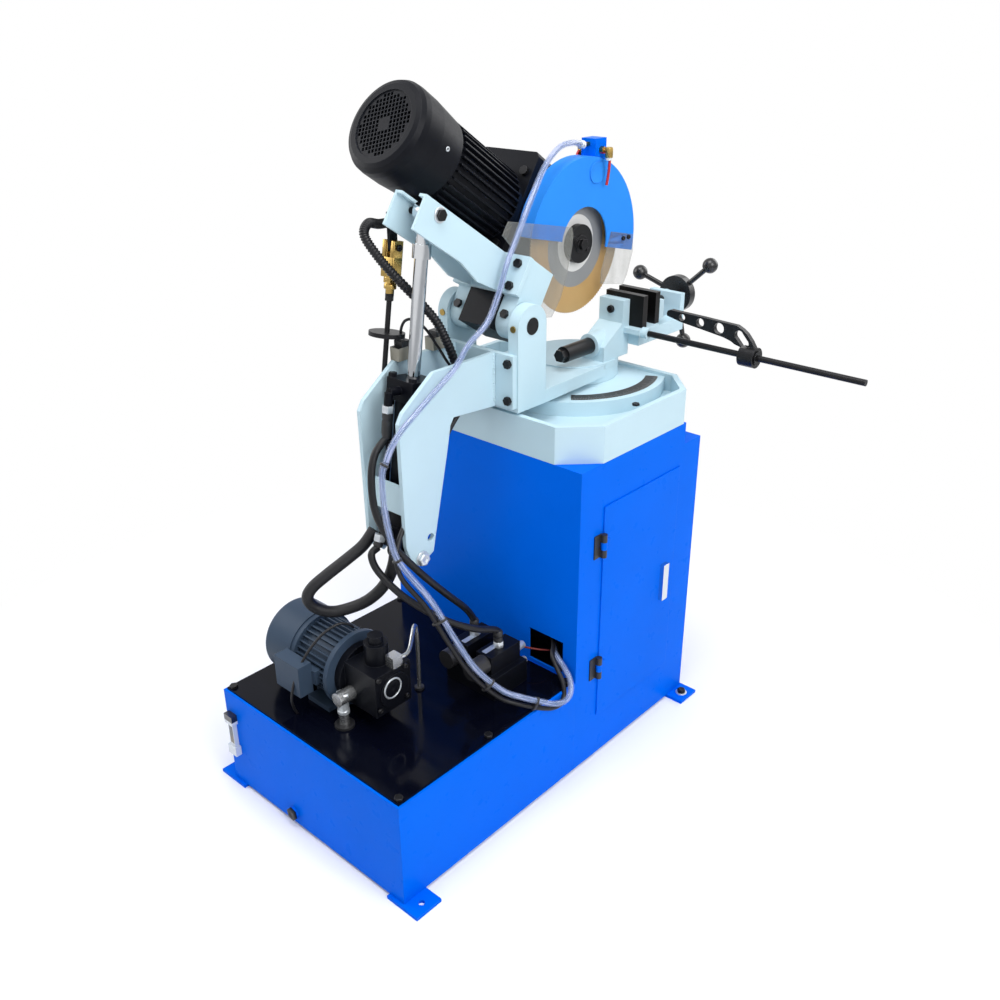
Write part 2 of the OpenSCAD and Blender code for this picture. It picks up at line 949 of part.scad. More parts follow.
module scale_plate() {
    color(dark)
    translate([0, swivel_y, platform_z])
        rotate(scale_from)
            rotate_extrude(angle = scale_sweep)
                translate([scale_r - scale_band, 0]) square([scale_band, scale_t]);
}

module vise_base() {
    color(light_grey) {
        along_z(post_r, platform_z, ring_z + over, 0, swivel_y);
        along_z(swivel_r, ring_z, ring_top_z, 0, swivel_y);
    }
}

module vise_column() {
    near = -vise_in - 2 * run_gap;
    rear = swivel_y + column_rear;
    foot_r = swivel_y + swivel_r;
    color(light_grey)
    difference() {
        union() {
            slab_x(column_far_x, near)
                polygon([[jaw_back_y, ring_top_z], [rear, ring_top_z], [rear, bed_z - column_low_top],
                         [jaw_back_y + column_slope, bed_z + column_bend],
                         [jaw_back_y + column_slope, bed_z + jaw_h - column_top],
                         [jaw_back_y, bed_z + jaw_h - column_top]]);
            span([bed_far_x, bed_front_y, bed_z - bed_t], [near, bed_rear_y, bed_z]);
            along_y(boss_r, jaw_back_y + column_slope, rear + boss_out, bar_x, bar_z);
            span([rail_far_x, upright_y, bed_z - bed_t - rail_h],
                 [rail_far_x + rail_w, jaw_back_y + over, bed_z - bed_t + over]);
            span([rail_far_x, upright_y, bed_z - bed_t - rail_h],
                 [rail_far_x + upright_w, upright_y + upright_t, bed_z + upright_top]);
            along_y(nut_boss_r, upright_y - nut_boss_t, upright_y + over, screw_x, screw_z);
            along_x(stop_boss_r, stop_x, bed_far_x + over, stop_y, stop_z);
        }
        along_y(bar_r + run_gap, bed_front_y - over, rear + boss_out + over, bar_x, bar_z);
        along_y(screw_r + screw_play, upright_y - nut_boss_t - over, upright_y + upright_t + over,
                screw_x, screw_z);
        along_x(stop_r + run_gap, stop_x - over, bed_far_x, stop_y, stop_z);
    }
}

module jaw_plate(face_y, back_y) {
    span([jaw_far_x, min(face_y, back_y), bed_z + slide_gap],
         [-vise_in, max(face_y, back_y), bed_z + jaw_h]);
}

module fixed_jaw() {
    color(black) jaw_plate(jaw_face_y, jaw_back_y);
}

module stop_rod() {
    color(steel) along_x(stop_r, stop_end_x, bed_far_x - run_gap, stop_y, stop_z);
}

// Pump and valves
module pump_motor() {
    x0 = pump_motor_x;
    x1 = pump_motor_x + pump_l - pump_cover_l;
    color(slate)
    difference() {
        union() {
            along_x(pump_r, x0 - pump_flange_t, x0, pump_y, pump_z);
            translate([x0, pump_y, pump_z]) rotate([90, 0, 90])
                linear_extrude(height = x1 - x0 - pump_flange_t)
                    ring_of_fins(pump_core_r, pump_fin_r, fin_n, fin_t);
            along_x(pump_r - cover_t, x1 - pump_flange_t - over, x1, pump_y, pump_z);
            span([x0 + pump_foot_in / 2, pump_y - pump_foot_w / 2, lid_z],
                 [x0 + pump_foot_in / 2 + pump_foot_l - pump_foot_in, pump_y + pump_foot_w / 2,
                  lid_z + pump_foot_t]);
            span([x0 + pump_foot_in, pump_y - pump_stem_w / 2, lid_z],
                 [x1 - pump_foot_in, pump_y + pump_stem_w / 2, pump_z - pump_core_r / 2]);
            span([x1 - pump_flange_t - box_l, pump_y + pump_core_r - over, pump_z - box_neck / 2],
                 [x1 - pump_flange_t, pump_y + pump_r + over, pump_z + box_neck / 2]);
            span([x1 - box_l, pump_y + pump_r + gap, pump_z - box_rise / 2],
                 [x1, pump_y + pump_r + box_out, pump_z + box_rise / 2]);
        }
        along_x(pump_bore_r, x0, x1 - pump_flange_t, pump_y, pump_z);
        along_x(pump_shaft_r + run_gap, x0 - pump_flange_t - over, x1 + over, pump_y, pump_z);
    }
}

module fan_shell(r, l, t, round_r) {
    rotate_extrude()
        difference() {
            union() {
                square([r, l - round_r]);
                square([r - round_r, l]);
                translate([r - round_r, l - round_r]) circle(r = round_r);
            }
            translate([0, -t]) square([r - t, l - round_r + t]);
            translate([0, -t]) square([r - round_r, l]);
            translate([r - round_r, l - round_r]) circle(r = round_r - t);
            translate([-r, -t]) square([r, l + 2 * t]);
        }
}

module vent_cut(l, t, limit, pitch, hole, n) {
    translate([0, 0, l - 2 * t])
        linear_extrude(height = 4 * t)
            for (i = [-n : n], j = [-n : n]) {
                if (norm([i, j]) * pitch < limit && max(abs(i), abs(j)) > 1) {
                    translate([i * pitch - hole / 2, j * pitch - hole / 2]) square(hole);
                }
            }
}

module pump_fan_cover() {
    color(slate)
    translate([pump_motor_x + pump_l - pump_cover_l, pump_y, pump_z]) rotate([90, 0, 90])
        difference() {
            fan_shell(pump_r, pump_cover_l, cover_t, pump_cover_round);
            vent_cut(pump_cover_l, cover_t, vent_r, vent_pitch, vent_hole, vent_half_n);
        }
}

module pump_rotor() {
    x0 = pump_motor_x;
    x1 = x0 + pump_l - pump_cover_l;
    color(steel) {
        along_x(pump_shaft_r, pump_x + pump_block + gap, x1 + pump_fan_in + pump_fan_t, pump_y, pump_z);
        along_x(pump_rotor_r, x0 + gap + over, x1 - pump_flange_t - gap - over, pump_y, pump_z);
        along_x(pump_fan_r, x1 + pump_fan_in, x1 + pump_fan_in + pump_fan_t, pump_y, pump_z);
    }
}

module oil_pump() {
    x1 = pump_x + pump_block;
    half = pump_block / 2;
    color(black) {
        span([pump_x, pump_y - half, pump_z - half], [x1, pump_y + half, pump_z + half]);
        difference() {
            along_x(bell_r, x1 - over, pump_motor_x - pump_flange_t, pump_y, pump_z);
            along_x(bell_r - wall, x1, pump_motor_x, pump_y, pump_z);
        }
        along_x(plate_r, pump_x - plate_t, pump_x + over, pump_y, pump_z);
        along_z(adjuster_r, pump_z + half - over, pump_z + half + adjuster_h, pump_x + half, pump_y);
        along_z(adjuster_cap_r, pump_z + half + adjuster_h - over,
                pump_z + half + adjuster_h + adjuster_cap_h, pump_x + half, pump_y);
    }
}

module oil_pipes() {
    half = pump_block / 2;
    sy = pump_y + half + suction_out;
    sz = lid_z + suction_rise;
    px = pump_x + half - adjuster_r - pressure_block_w / 2 - over;
    color(steel) {
        along_z(grommet_r, lid_z, lid_z + grommet_t, suction_x, sy);
        along_z(suction_r, lid_z, sz, suction_x, sy);
        along_y(elbow_r, pump_y + half, sy + elbow_r, suction_x, sz);
        along_z(grommet_r / 2, lid_z, lid_z + grommet_t, pressure_foot_x, pressure_foot_y);
        cord([[pressure_foot_x, pressure_foot_y, lid_z + gap],
              [pressure_foot_x, pressure_foot_y, lid_z + pressure_up - pressure_arc],
              [pressure_foot_x - pressure_arc / 8, pressure_foot_y + pressure_arc / 3, lid_z + pressure_up],
              [px, pressure_foot_y + 2 * pressure_arc, pump_z + half + pressure_block_w / 2],
              [px, pump_y - adjuster_r, pump_z + half + pressure_block_w / 2]], pressure_r, [1, 0, 0]);
        translate([px - pressure_block_w / 2, pump_y - adjuster_r - over, pump_z + half])
            cube([pressure_block_w, pressure_block_w, pressure_block_w]);
    }
}

spool_xs = [for (k = [0 : coil_n - 1]) valve_x + spool_in + k * spool_pitch];
spool_mid_y = valve_y + valve_l / 2;

module valve_block() {
    color(black) {
        span([valve_x, valve_y, lid_z], [valve_x + valve_w, valve_y + valve_l, lid_z + valve_h]);
        for (x = spool_xs) {
            span([x, spool_mid_y - spool_l / 2, lid_z + valve_h],
                 [x + spool_w, spool_mid_y + spool_l / 2, lid_z + valve_h + spool_h]);
        }
    }
}

module solenoid_coils() {
    color(dark)
    for (x = spool_xs) {
        along_y(coil_r, spool_mid_y + spool_l / 2, spool_mid_y + spool_l / 2 + coil_l,
                x + spool_w / 2, lid_z + valve_h + spool_h / 2);
    }
}

// Door
module door() {
    x1 = door_face_x;
    x0 = x1 - door_t;
    color(blue)
    difference() {
        union() {
            span([x0, door_front_y, door_z], [x1, door_rear_y, door_z + door_h]);
            difference() {
                span([x1 - over, door_front_y + 2 * door_lap, door_z + 2 * door_lap],
                     [x1 + door_fold, door_rear_y - 2 * door_lap, door_z + door_h - 2 * door_lap]);
                span([x1, door_front_y + 2 * door_lap + wall, door_z + 2 * door_lap + wall],
                     [x1 + door_fold + over, door_rear_y - 2 * door_lap - wall,
                      door_z + door_h - 2 * door_lap - wall]);
            }
            for (h = [hinge_low, hinge_high]) {
                z0 = door_z + h + knuckle_h;
                along_z(hinge_r, z0, z0 + knuckle_h - gap, hinge_x, hinge_y);
                span([x0 - hinge_leaf_t, hinge_y - hinge_leaf, z0], [x0, hinge_y - gap, z0 + knuckle_h - gap]);
                span([hinge_x - hinge_leaf_t / 2, hinge_y - hinge_r, z0],
                     [x0, hinge_y - gap, z0 + knuckle_h - gap]);
            }
        }
        for (h = [hinge_low, hinge_high]) {
            along_z(hinge_pin_r + run_gap, door_z + h - over, door_z + h + hinge_h + over, hinge_x, hinge_y);
        }
        along_x(latch_shaft_r + run_gap, x0 - over, x1 + over, latch_y, latch_z);
    }
}

module latch_handle() {
    x0 = door_face_x - door_t;
    color(steel) {
        span([x0 - gap - latch_t, latch_y - latch_w / 2, latch_z - latch_pivot_share * latch_l],
             [x0 - gap, latch_y + latch_w / 2, latch_z + (1 - latch_pivot_share) * latch_l]);
        along_x(latch_shaft_r, x0 - gap - over, door_face_x + latch_cam_x + latch_cam_t, latch_y, latch_z);
        span([door_face_x + latch_cam_x, latch_y - latch_cam_l, latch_z - latch_cam_w / 2],
             [door_face_x + latch_cam_x + latch_cam_t, latch_y + latch_cam_w / 2, latch_z + latch_cam_w / 2]);
    }
}

// Turntable
module swivel_casting() {
    ear_out = ear_x + ear_t;
    color(light_grey)
    difference() {
        union() {
            along_z(swivel_r, platform_z + gap, swivel_top_z, 0, swivel_y);
            difference() {
                translate([0, 0, leg_z])
                    linear_extrude(height = leg_t)
                        polygon([[over - swivel_r, swivel_y], [swivel_r - over, swivel_y],
                                 [ear_out, pivot_y - ear_r + over], [-ear_out, pivot_y - ear_r + over]]);
                along_z(swivel_r + gap, swivel_top_z, leg_z + leg_t + over, 0, swivel_y);
            }
            span([-ear_out, pivot_y - ear_r, leg_z], [ear_out, pivot_y + ear_r, leg_z + beam_h]);
            both_sides() {
                along_x(ear_r, ear_x, ear_out, pivot_y, pivot_z);
                span([ear_x, pivot_y - ear_r, leg_z], [ear_out, pivot_y + ear_r, pivot_z]);
            }
        }
        along_z(post_r + run_gap, platform_z - over, swivel_top_z + over, 0, swivel_y);
        along_x(pivot_r + run_gap, -ear_out - over, ear_out + over, pivot_y, pivot_z);
        both_sides() {
            for (z = brk_bolt_zs) {
                along_y(bolt_r + run_gap, pivot_y + ear_r - grub_in - gap, pivot_y + ear_r + over, brk_bolt_x, z);
            }
            along_y(grub_r + run_gap, pivot_y + ear_r - grub_in - gap, pivot_y + ear_r + over, ear_x + ear_t / 2, pivot_z);
        }
    }
}

module pivot_shaft() {
    ear_out = ear_x + ear_t;
    color(dark) along_x(pivot_r, -ear_out - shaft_out, ear_out + shaft_out, pivot_y, pivot_z);
}

brk_flange_z = brk_top_z - brk_flange_low;
brk_bolt_zs = [brk_flange_z + brk_bolt_in, brk_top_z - brk_bolt_in];

module bracket_plate() {
    translate([brk_y + brk_flange_t, brk_top_z - brk_h]) polygon(scaled(brk_shares, brk_reach, brk_h));
}

module bracket() {
    back = brk_y + brk_flange_t;
    color(light_grey)
    difference() {
        union() {
            both_sides() slab_x(brk_plate_x, brk_plate_x + brk_plate_t) bracket_plate();
            span([-brk_flange_w / 2, brk_y, brk_flange_z], [brk_flange_w / 2, back + over, brk_top_z]);
            span([-brk_plate_x - over, back + brk_reach - 2 * brk_strip_t, brk_top_z - brk_h + 2 * brk_strip_h],
                 [brk_plate_x + over, back + brk_reach - brk_strip_t, brk_top_z - brk_h + 3 * brk_strip_h]);
            span([brk_plate_x + over, guide_y - guide_half, guide_z - guide_t / 2],
                 [trip_x + guide_w / 2, guide_y + guide_half, guide_z + guide_t / 2]);
        }
        along_x(brk_hole_r, -brk_plate_x - brk_plate_t - over, 0, back + brk_hole_back, brk_top_z - brk_hole_low);
        along_x(base_pin_r + run_gap, -brk_plate_x - brk_plate_t - over, brk_plate_x + brk_plate_t + over,
                cyl_base_y, cyl_base_z);
        both_sides() {
            for (z = brk_bolt_zs) {
                along_y(bolt_r + run_gap, brk_y - over, back + 2 * over, brk_bolt_x, z);
            }
        }
        translate([trip_x, guide_y, guide_z]) rotate([trip_lean, 0, 0])
            cylinder(r = guide_slot_r, h = 4 * guide_t, center = true);
    }
}

module bracket_bolts() {
    back = brk_y + brk_flange_t + over;
    out = brk_plate_x + brk_plate_t;
    color(black) {
        both_sides() {
            for (z = brk_bolt_zs) {
                along_y(bolt_r, pivot_y + ear_r - grub_in, back + over, brk_bolt_x, z);
                hex_y(bolt_head_r, back, back + bolt_head_h, brk_bolt_x, z);
            }
            along_y(grub_r, pivot_y + ear_r - grub_in, pivot_y + ear_r + grub_out, ear_x + ear_t / 2, pivot_z);
            hex_x(bolt_head_r + grub_out, out, out + bolt_head_h, cyl_base_y, cyl_base_z);
        }
        along_x(base_pin_r, -out - over, out + over, cyl_base_y, cyl_base_z);
    }
}

switch_top_z = brk_top_z + switch_h;
switch_mid_x = brk_plate_x;

module switch_plunger(back_y) {
    y = brk_y + brk_flange_t + back_y;
    color(steel) along_z(plunger_r, switch_top_z + switch_head_h - plunger_in,
                         switch_top_z + switch_head_h + plunger_out, switch_mid_x, y);
}

module limit_switches() {
    color(beige)
    for (back_y = switch_back) {
        y = brk_y + brk_flange_t + back_y;
        span([switch_mid_x - switch_w / 2, y - switch_l / 2, brk_top_z],
             [switch_mid_x + switch_w / 2, y + switch_l / 2, switch_top_z]);
        difference() {
            span([switch_mid_x - switch_head_l / 2, y - switch_head_l / 2, switch_top_z - over],
                 [switch_mid_x + switch_head_l / 2, y + switch_head_l / 2, switch_top_z + switch_head_h]);
            along_z(plunger_r + run_gap, switch_top_z, switch_top_z + switch_head_h + over, switch_mid_x, y);
        }
    }
}

module front_plunger() {
    switch_plunger(switch_back[0]);
}

module rear_plunger() {
    switch_plunger(switch_back[1]);
}

// Head
module head_casting() {
    box_far_x = box_x + box_w;
    top = box_low_v + box_h;
    half = neck_w / 2;
    color(black)
    in_head() difference() {
        union() {
            slab_y(box_front_u, box_rear_u)
                polygon([[box_x, box_low_v], [box_far_x - box_edge, box_low_v], [box_far_x, box_low_v + box_edge],
                         [box_far_x, top - box_edge], [box_far_x - box_edge, top], [box_x + box_edge, top],
                         [box_x, top - box_edge]]);
            slab_y(neck_front_u, neck_rear_u)
                polygon([[-half, -neck_low], [half, -neck_low], [half, box_low_v + over],
                         [box_x, box_low_v + over], [-half, neck_slope_v]]);
            slab_y(neck_front_u, -knuckle_r - gap)
                polygon([[half - over, neck_shoulder_v], [neck_web_x, neck_web_v],
                         [neck_web_x, box_low_v + box_wall / 2], [half - over, box_low_v + box_wall / 2]]);
        }
        span([box_x + box_wall, box_front_u + box_wall, box_low_v + box_wall],
             [box_far_x - box_wall, box_rear_u - box_wall, top - box_wall]);
        along_x(pivot_r + run_gap, -half - over, half + over, 0, 0);
        along_x(spindle_r + run_gap, box_x - over, box_far_x + over, hub_u, hub_v);
        along_y(pinion_r + gear_r - mesh_gap, box_rear_u - box_wall - over, box_rear_u + over, motor_x, motor_v);
        along_y(shaft_r + run_gap, box_front_u + box_wall / 2, box_front_u + box_wall + over, motor_x, worm_v);
        along_y(shaft_r + run_gap, box_rear_u - box_wall - over, box_rear_u - box_wall / 2, motor_x, worm_v);
        for (p = box_bolt_places) {
            along_y(bolt_r + run_gap, box_rear_u - box_wall / 2 - gap, box_rear_u + over, p[0], p[1]);
        }
    }
}

box_bolt_places = [for (sx = [0, 1], v = [box_low_v + box_bolt_low, box_low_v + box_h - box_bolt_high])
    [box_x + box_bolt_x + sx * (box_w - 2 * box_bolt_x), v]];

module pivot_knuckles() {
    color(light_grey)
    in_head() both_sides() difference() {
        union() {
            along_x(knuckle_r, knuckle_x, knuckle_x + knuckle_t, 0, 0);
            span([knuckle_x, -knuckle_r, 0], [knuckle_x + knuckle_t, knuckle_r, knuckle_top_v]);
            span([knuckle_x, 0, lever_flange_low_v], [knuckle_x + knuckle_t, neck_rear_u, knuckle_top_v]);
        }
        along_x(pivot_r + run_gap, knuckle_x - over, knuckle_x + knuckle_t + over, 0, 0);
        for (v = lever_bolt_vs) {
            along_y(bolt_r + run_gap, neck_rear_u - grub_in - gap, neck_rear_u + over, lever_bolt_x, v);
        }
        along_y(bolt_r + run_gap, knuckle_r - grub_in - gap, knuckle_r + over, lever_bolt_x, knuckle_bolt_v);
    }
}

module lever_arm() {
    half = lever_w / 2;
    top = lever_low_v + lever_deep;
    color(light_grey)
    in_head() difference() {
        union() {
            both_sides() span([half - lever_t, lever_u - over, lever_low_v], [half, lever_end_u, top]);
            span([-half, lever_u - over, top - lever_t], [half, lever_end_u, top]);
            span([-lever_flange_w / 2, neck_rear_u, lever_flange_low_v],
                 [lever_flange_w / 2, lever_u, lever_flange_low_v + lever_flange_h]);
            both_sides() slab_x(half - lever_t, half)
                polygon([[lever_u, lever_low_v + over], [lever_u, lever_flange_low_v],
                         [lever_u + gusset_l, lever_low_v - gusset_h],
                         [lever_u + 2 * gusset_l, lever_low_v + over]]);
        }
        span([-lever_notch_w / 2, lever_end_u - lever_notch_l, top - 2 * lever_t],
             [lever_notch_w / 2, lever_end_u + over, top + over]);
        along_x(lever_pin_r + run_gap, -half - over, half + over, lever_pin_u, lever_pin_v);
        both_sides() {
            for (v = lever_bolt_vs) {
                along_y(bolt_r + run_gap, neck_rear_u - over, lever_u + over, lever_bolt_x, v);
            }
        }
    }
}

module head_bolts() {
    half = lever_w / 2;
    color(black)
    in_head() {
        both_sides() {
            for (v = lever_bolt_vs) {
                along_y(bolt_r, neck_rear_u - grub_in, lever_u + over, lever_bolt_x, v);
                hex_y(bolt_head_r, lever_u, lever_u + bolt_head_h, lever_bolt_x, v);
            }
            along_y(bolt_r, knuckle_r - grub_in, knuckle_r + over, lever_bolt_x, knuckle_bolt_v);
            hex_y(bolt_head_r, knuckle_r, knuckle_r + bolt_head_h, lever_bolt_x, knuckle_bolt_v);
            hex_x(lever_pin_head_r, half, half + lever_pin_head_h, lever_pin_u, lever_pin_v);
        }
        along_x(lever_pin_r, -half - over, half + over, lever_pin_u, lever_pin_v);
        for (p = box_bolt_places) {
            along_y(bolt_r, box_rear_u - box_wall / 2, box_rear_u + over, p[0], p[1]);
            along_y(bolt_head_r, box_rear_u, box_rear_u + bolt_head_h, p[0], p[1]);
        }
    }
}

module motor_body() {
    color(black)
    in_head() translate([motor_x, box_rear_u, motor_v]) rotate([-90, 0, 0])
        difference() {
            union() {
                cylinder(r = motor_flange_r, h = motor_flange_t);
                translate([0, 0, motor_flange_t - over])
                    linear_extrude(height = motor_l - motor_flange_t - motor_shield_t + 2 * over)
                        ring_of_fins(motor_core_r, motor_r, fin_n, fin_t);
                translate([0, 0, motor_l - motor_shield_t]) cylinder(r = motor_core_r, h = motor_shield_t);
                translate([-term_w / 2, 0, motor_l - term_l - gap]) cube([term_w, term_out, term_l]);
            }
            translate([0, 0, motor_flange_t]) cylinder(r = stator_r, h = motor_l - motor_flange_t - motor_shield_t);
            translate([0, 0, -over]) cylinder(r = shaft_r + run_gap, h = motor_l + 2 * over);
        }
}

module motor_fan_cover() {
    color(black)
    in_head() translate([motor_x, motor_end_u, motor_v]) rotate([-90, 0, 0])
    {
        difference() {
            rotate_extrude() cover_profile(cover_r, cover_l, 0);
            rotate_extrude() cover_profile(cover_r - cover_t, cover_l - cover_t, over);
            cylinder(r = grille_r, h = cover_l + over);
        }
        translate([0, 0, cover_l - 2 * cover_t]) rotate(grille_turn)
            linear_extrude(height = cover_t)
                difference() {
                    circle(r = grille_r + over);
                    for (i = [-grille_half_n : grille_half_n], j = [-grille_half_n : grille_half_n]) {
                        if (norm([i, j]) * grille_pitch + grille_hole < grille_r && max(abs(i), abs(j)) > 1) {
                            translate([i * grille_pitch - grille_hole / 2, j * grille_pitch - grille_hole / 2])
                                square(grille_hole);
                        }
                    }
                }
    }
}

module cover_profile(r, l, low) {
    polygon(concat([[0, -low]], [[cover_shares[0][0] * r, -low]], scaled(cover_shares, r, l), [[0, l]]));
}

module half_disc(r) {
    intersection() {
        circle(r = r);
        translate([-r, 0]) square([2 * r, r]);
    }
}

module blade_guard() {
    far_x = guard_near_x + guard_w;
    color(blue) {
        in_guard() difference() {
            slab_x(guard_near_x, far_x) half_disc(guard_r);
            slab_x(guard_near_x + guard_t, far_x - guard_t)
                difference() {
                    circle(r = guard_r - guard_t);
                }
            slab_x(guard_near_x - over, guard_near_x + guard_t + over) circle(r = arch_r);
            slab_x(far_x - guard_t - over, far_x + over) circle(r = guard_hole_r);
        }
        in_head() for (p = scaled(stud_shares, guard_r, guard_r)) {
            along_x(stud_r, far_x - over, box_x, hub_u + p[0], hub_v + p[1]);
        }
    }
}

module guard_sheet(shares) {
    in_guard() slab_x(guard_near_x - shield_t, guard_near_x) polygon(scaled(shares, guard_r, guard_r));
}

module rear_shield() {
    color(clear) guard_sheet(rear_shield_shares);
}

module front_shield() {
    color(clear) guard_sheet(front_shield_shares);
}

hub_y = pivot_y + hub_u * cos(head_tilt) - hub_v * sin(head_tilt);
hub_z = pivot_z + hub_u * sin(head_tilt) + hub_v * cos(head_tilt);
man_y = hub_y - manifold_ahead;
man_z = hub_z + sqrt(guard_r * guard_r - manifold_ahead * manifold_ahead) - manifold_sink;
man_x = guard_near_x + guard_w / 2;

module coolant_manifold() {
    color(blue)
    difference() {
        translate([man_x - manifold_w / 2, man_y - manifold_l / 2, man_z])
            cube([manifold_w, manifold_l, manifold_h]);
        along_x(guard_r + run_gap, man_x - manifold_w, man_x + manifold_w, hub_y, hub_z);
    }
}

module coolant_tubes() {
    near = man_x - manifold_w / 2;
    far = man_x + manifold_w / 2;
    color(red) {
        hex_x(nut_r, near - nut_l, near, man_y, man_z + nut_up);
        hex_x(nut_r, far, far + nut_l, man_y, man_z + nut_up);
        along_y(barb_r, man_y + manifold_l / 2, man_y + manifold_l / 2 + barb_l, man_x, man_z + barb_up);
        translate([near - nut_l + over, man_y, man_z + nut_up]) cord(tube_near, tube_r, [0, 1, 0]);
        translate([far + nut_l - over, man_y, man_z + nut_up]) cord(tube_far, tube_r, [0, 1, 0]);
    }
}

module trip_link() {
    x0 = lever_w / 2;
    color(black)
    difference() {
        union() {
            span([x0, trip_y - link_back, trip_z + link_up], [x0 + link_t, trip_y + link_w, trip_z + link_up + link_h]);
            span([x0, trip_y - tongue_w / 2, trip_z + link_up],
                 [trip_x + tongue_t / 2, trip_y + tongue_w / 2, trip_z + link_up + link_t]);
            span([trip_x - tongue_t / 2, trip_y - tongue_w / 2, trip_z],
                 [trip_x + tongue_t / 2, trip_y + tongue_w / 2, trip_z + link_up + link_t]);
            along_x(tongue_w / 2, trip_x - tongue_t / 2, trip_x + tongue_t / 2, trip_y, trip_z);
        }
        along_x(trip_pin_r + run_gap, trip_x - tongue_t, trip_x + tongue_t, trip_y, trip_z);
    }
}

// Drive
module spindle() {
    wheel_x = motor_x;
    color(steel)
    in_head() translate([0, hub_u, hub_v]) {
        along_x(spindle_r, blade_t / 2 + over, spindle_end, 0, 0);
        along_x(nose_r, -outer_flange_t / 2, blade_t / 2 + 2 * over, 0, 0);
        along_x(flange_r, blade_t / 2, blade_t / 2 + flange_t, 0, 0);
        along_x(wheel_gear_r - mesh_gap, wheel_x - wheel_gear_t / 2, wheel_x + wheel_gear_t / 2, 0, 0);
    }
}

module blade() {
    n = blade_teeth;
    r = blade_d / 2;
    color(gold)
    in_head() translate([0, hub_u, hub_v])
        slab_x(-blade_t / 2, blade_t / 2)
            difference() {
                polygon([for (i = [0 : n - 1])
                    each let (a = 360 * i / n, b = 360 * (i + 0.3) / n)
                    [[r * cos(a), r * sin(a)], [(r - tooth_h) * cos(b), (r - tooth_h) * sin(b)]]]);
                circle(r = nose_r);
            }
}

module blade_flange() {
    x1 = -blade_t / 2;
    x0 = x1 - outer_flange_t;
    color(dark)
    in_head() translate([0, hub_u, hub_v])
        difference() {
            union() {
                along_x(flange_r, x0, x1, 0, 0);
                along_x(flange_washer_r, x0 - flange_washer_t, x0 + over, 0, 0);
                hex_x(flange_nut_r, x0 - flange_washer_t - flange_nut_t, x0, 0, 0);
                for (s = [-1, 1]) {
                    along_x(flange_screw_r, x0 - flange_screw_t, x0 + over, s * flange_screw_at, 0);
                }
            }
            along_x(nose_r, -outer_flange_t / 2 - over, over, 0, 0);
        }
}

module worm_shaft() {
    color(steel)
    in_head() {
        along_y(shaft_r, box_front_u + box_wall / 2 + gap, box_rear_u - box_wall / 2 - gap, motor_x, worm_v);
        along_y(worm_r - mesh_gap, hub_u - worm_l / 2, hub_u + worm_l / 2, motor_x, worm_v);
        along_y(gear_r - mesh_gap, gear_u, gear_u + gear_t, motor_x, worm_v);
    }
}

module motor_rotor() {
    color(steel)
    in_head() {
        along_y(shaft_r, gear_u, fan_u + fan_t, motor_x, motor_v);
        along_y(pinion_r - mesh_gap, gear_u, gear_u + gear_t, motor_x, motor_v);
        along_y(rotor_r, rotor_from_u, rotor_from_u + rotor_l, motor_x, motor_v);
        along_y(fan_r, fan_u, fan_u + fan_t, motor_x, motor_v);
    }
}

// Cylinder
module piston_rod() {
    color(steel)
    on_cylinder() difference() {
        union() {
            along_x(eye_r, -eye_w / 2, eye_w / 2, 0, 0);
            along_z(rod_r, -piston_from - piston_t, 0, 0, 0);
            along_z(lock_r, -lock_from - lock_l, -lock_from, 0, 0);
            along_z(piston_r, -piston_from - piston_t, -piston_from, 0, 0);
        }
        along_x(lever_pin_r + run_gap, -eye_w, eye_w, 0, 0);
    }
}

module cylinder_barrel() {
    end = cyl_l - lug_r;
    color(black)
    on_cylinder() difference() {
        union() {
            along_z(barrel_d / 2, -end - over, -barrel_from, 0, 0);
            span([-gland_w / 2, -gland_w / 2, -barrel_from - gland_h], [gland_w / 2, gland_w / 2, -barrel_from]);
            span([-cap_w / 2, -cap_w / 2, -end - over], [cap_w / 2, cap_w / 2, -end + cap_h]);
            for (sx = [-1, 1], sy = [-1, 1]) {
                along_z(tie_r, -end, -barrel_from, sx * tie_in, sy * tie_in);
                translate([sx * tie_in, sy * tie_in, -barrel_from]) cylinder(r = tie_nut_r, h = tie_nut_h, $fn = 6);
            }
            along_x(lug_r, -lug_w / 2, lug_w / 2, 0, -cyl_l);
            span([-lug_w / 2, -lug_r, -cyl_l], [lug_w / 2, lug_r, -end]);
            along_y(port_r, 0, port_out, 0, -barrel_from - gland_h / 2);
            along_z(port_r, -barrel_from - gland_h / 2 - port_r - hose_end_l, -barrel_from - gland_h / 2, 0, port_out);
            along_y(port_r, 0, port_out, 0, -end + port_low / 2);
        }
        along_z(barrel_bore_r, -end + cap_h / 2, -barrel_from - gland_h, 0, 0);
        along_z(rod_r + run_gap, -barrel_from - gland_h - over, -barrel_from + over, 0, 0);
        along_x(base_pin_r + lug_play, -lug_w, lug_w, 0, -cyl_l);
    }
}

module trip_rod() {
    half = clevis_w / 2;
    color(brass)
    on_trip() {
        difference() {
            union() {
                span([-half, -half, -clevis_l], [half, half, clevis_up]);
                along_z(shank_r, -clevis_l - shank_l, -clevis_l + over, 0, 0);
            }
            span([-clevis_slot / 2, -clevis_w, -clevis_deep], [clevis_slot / 2, clevis_w, clevis_up + over]);
        }
        along_x(trip_pin_r, -half, half, 0, 0);
        along_z(trip_rod_r, -trip_rod_l, -clevis_l - shank_l + over, 0, 0);
        along_z(collar_r, -collar_at - collar_t / 2, -collar_at + collar_t / 2, 0, 0);
        translate([0, 0, -clevis_l - shank_l - lock_nut_t]) cylinder(r = lock_nut_r, h = lock_nut_t + over, $fn = 6);
    }
}

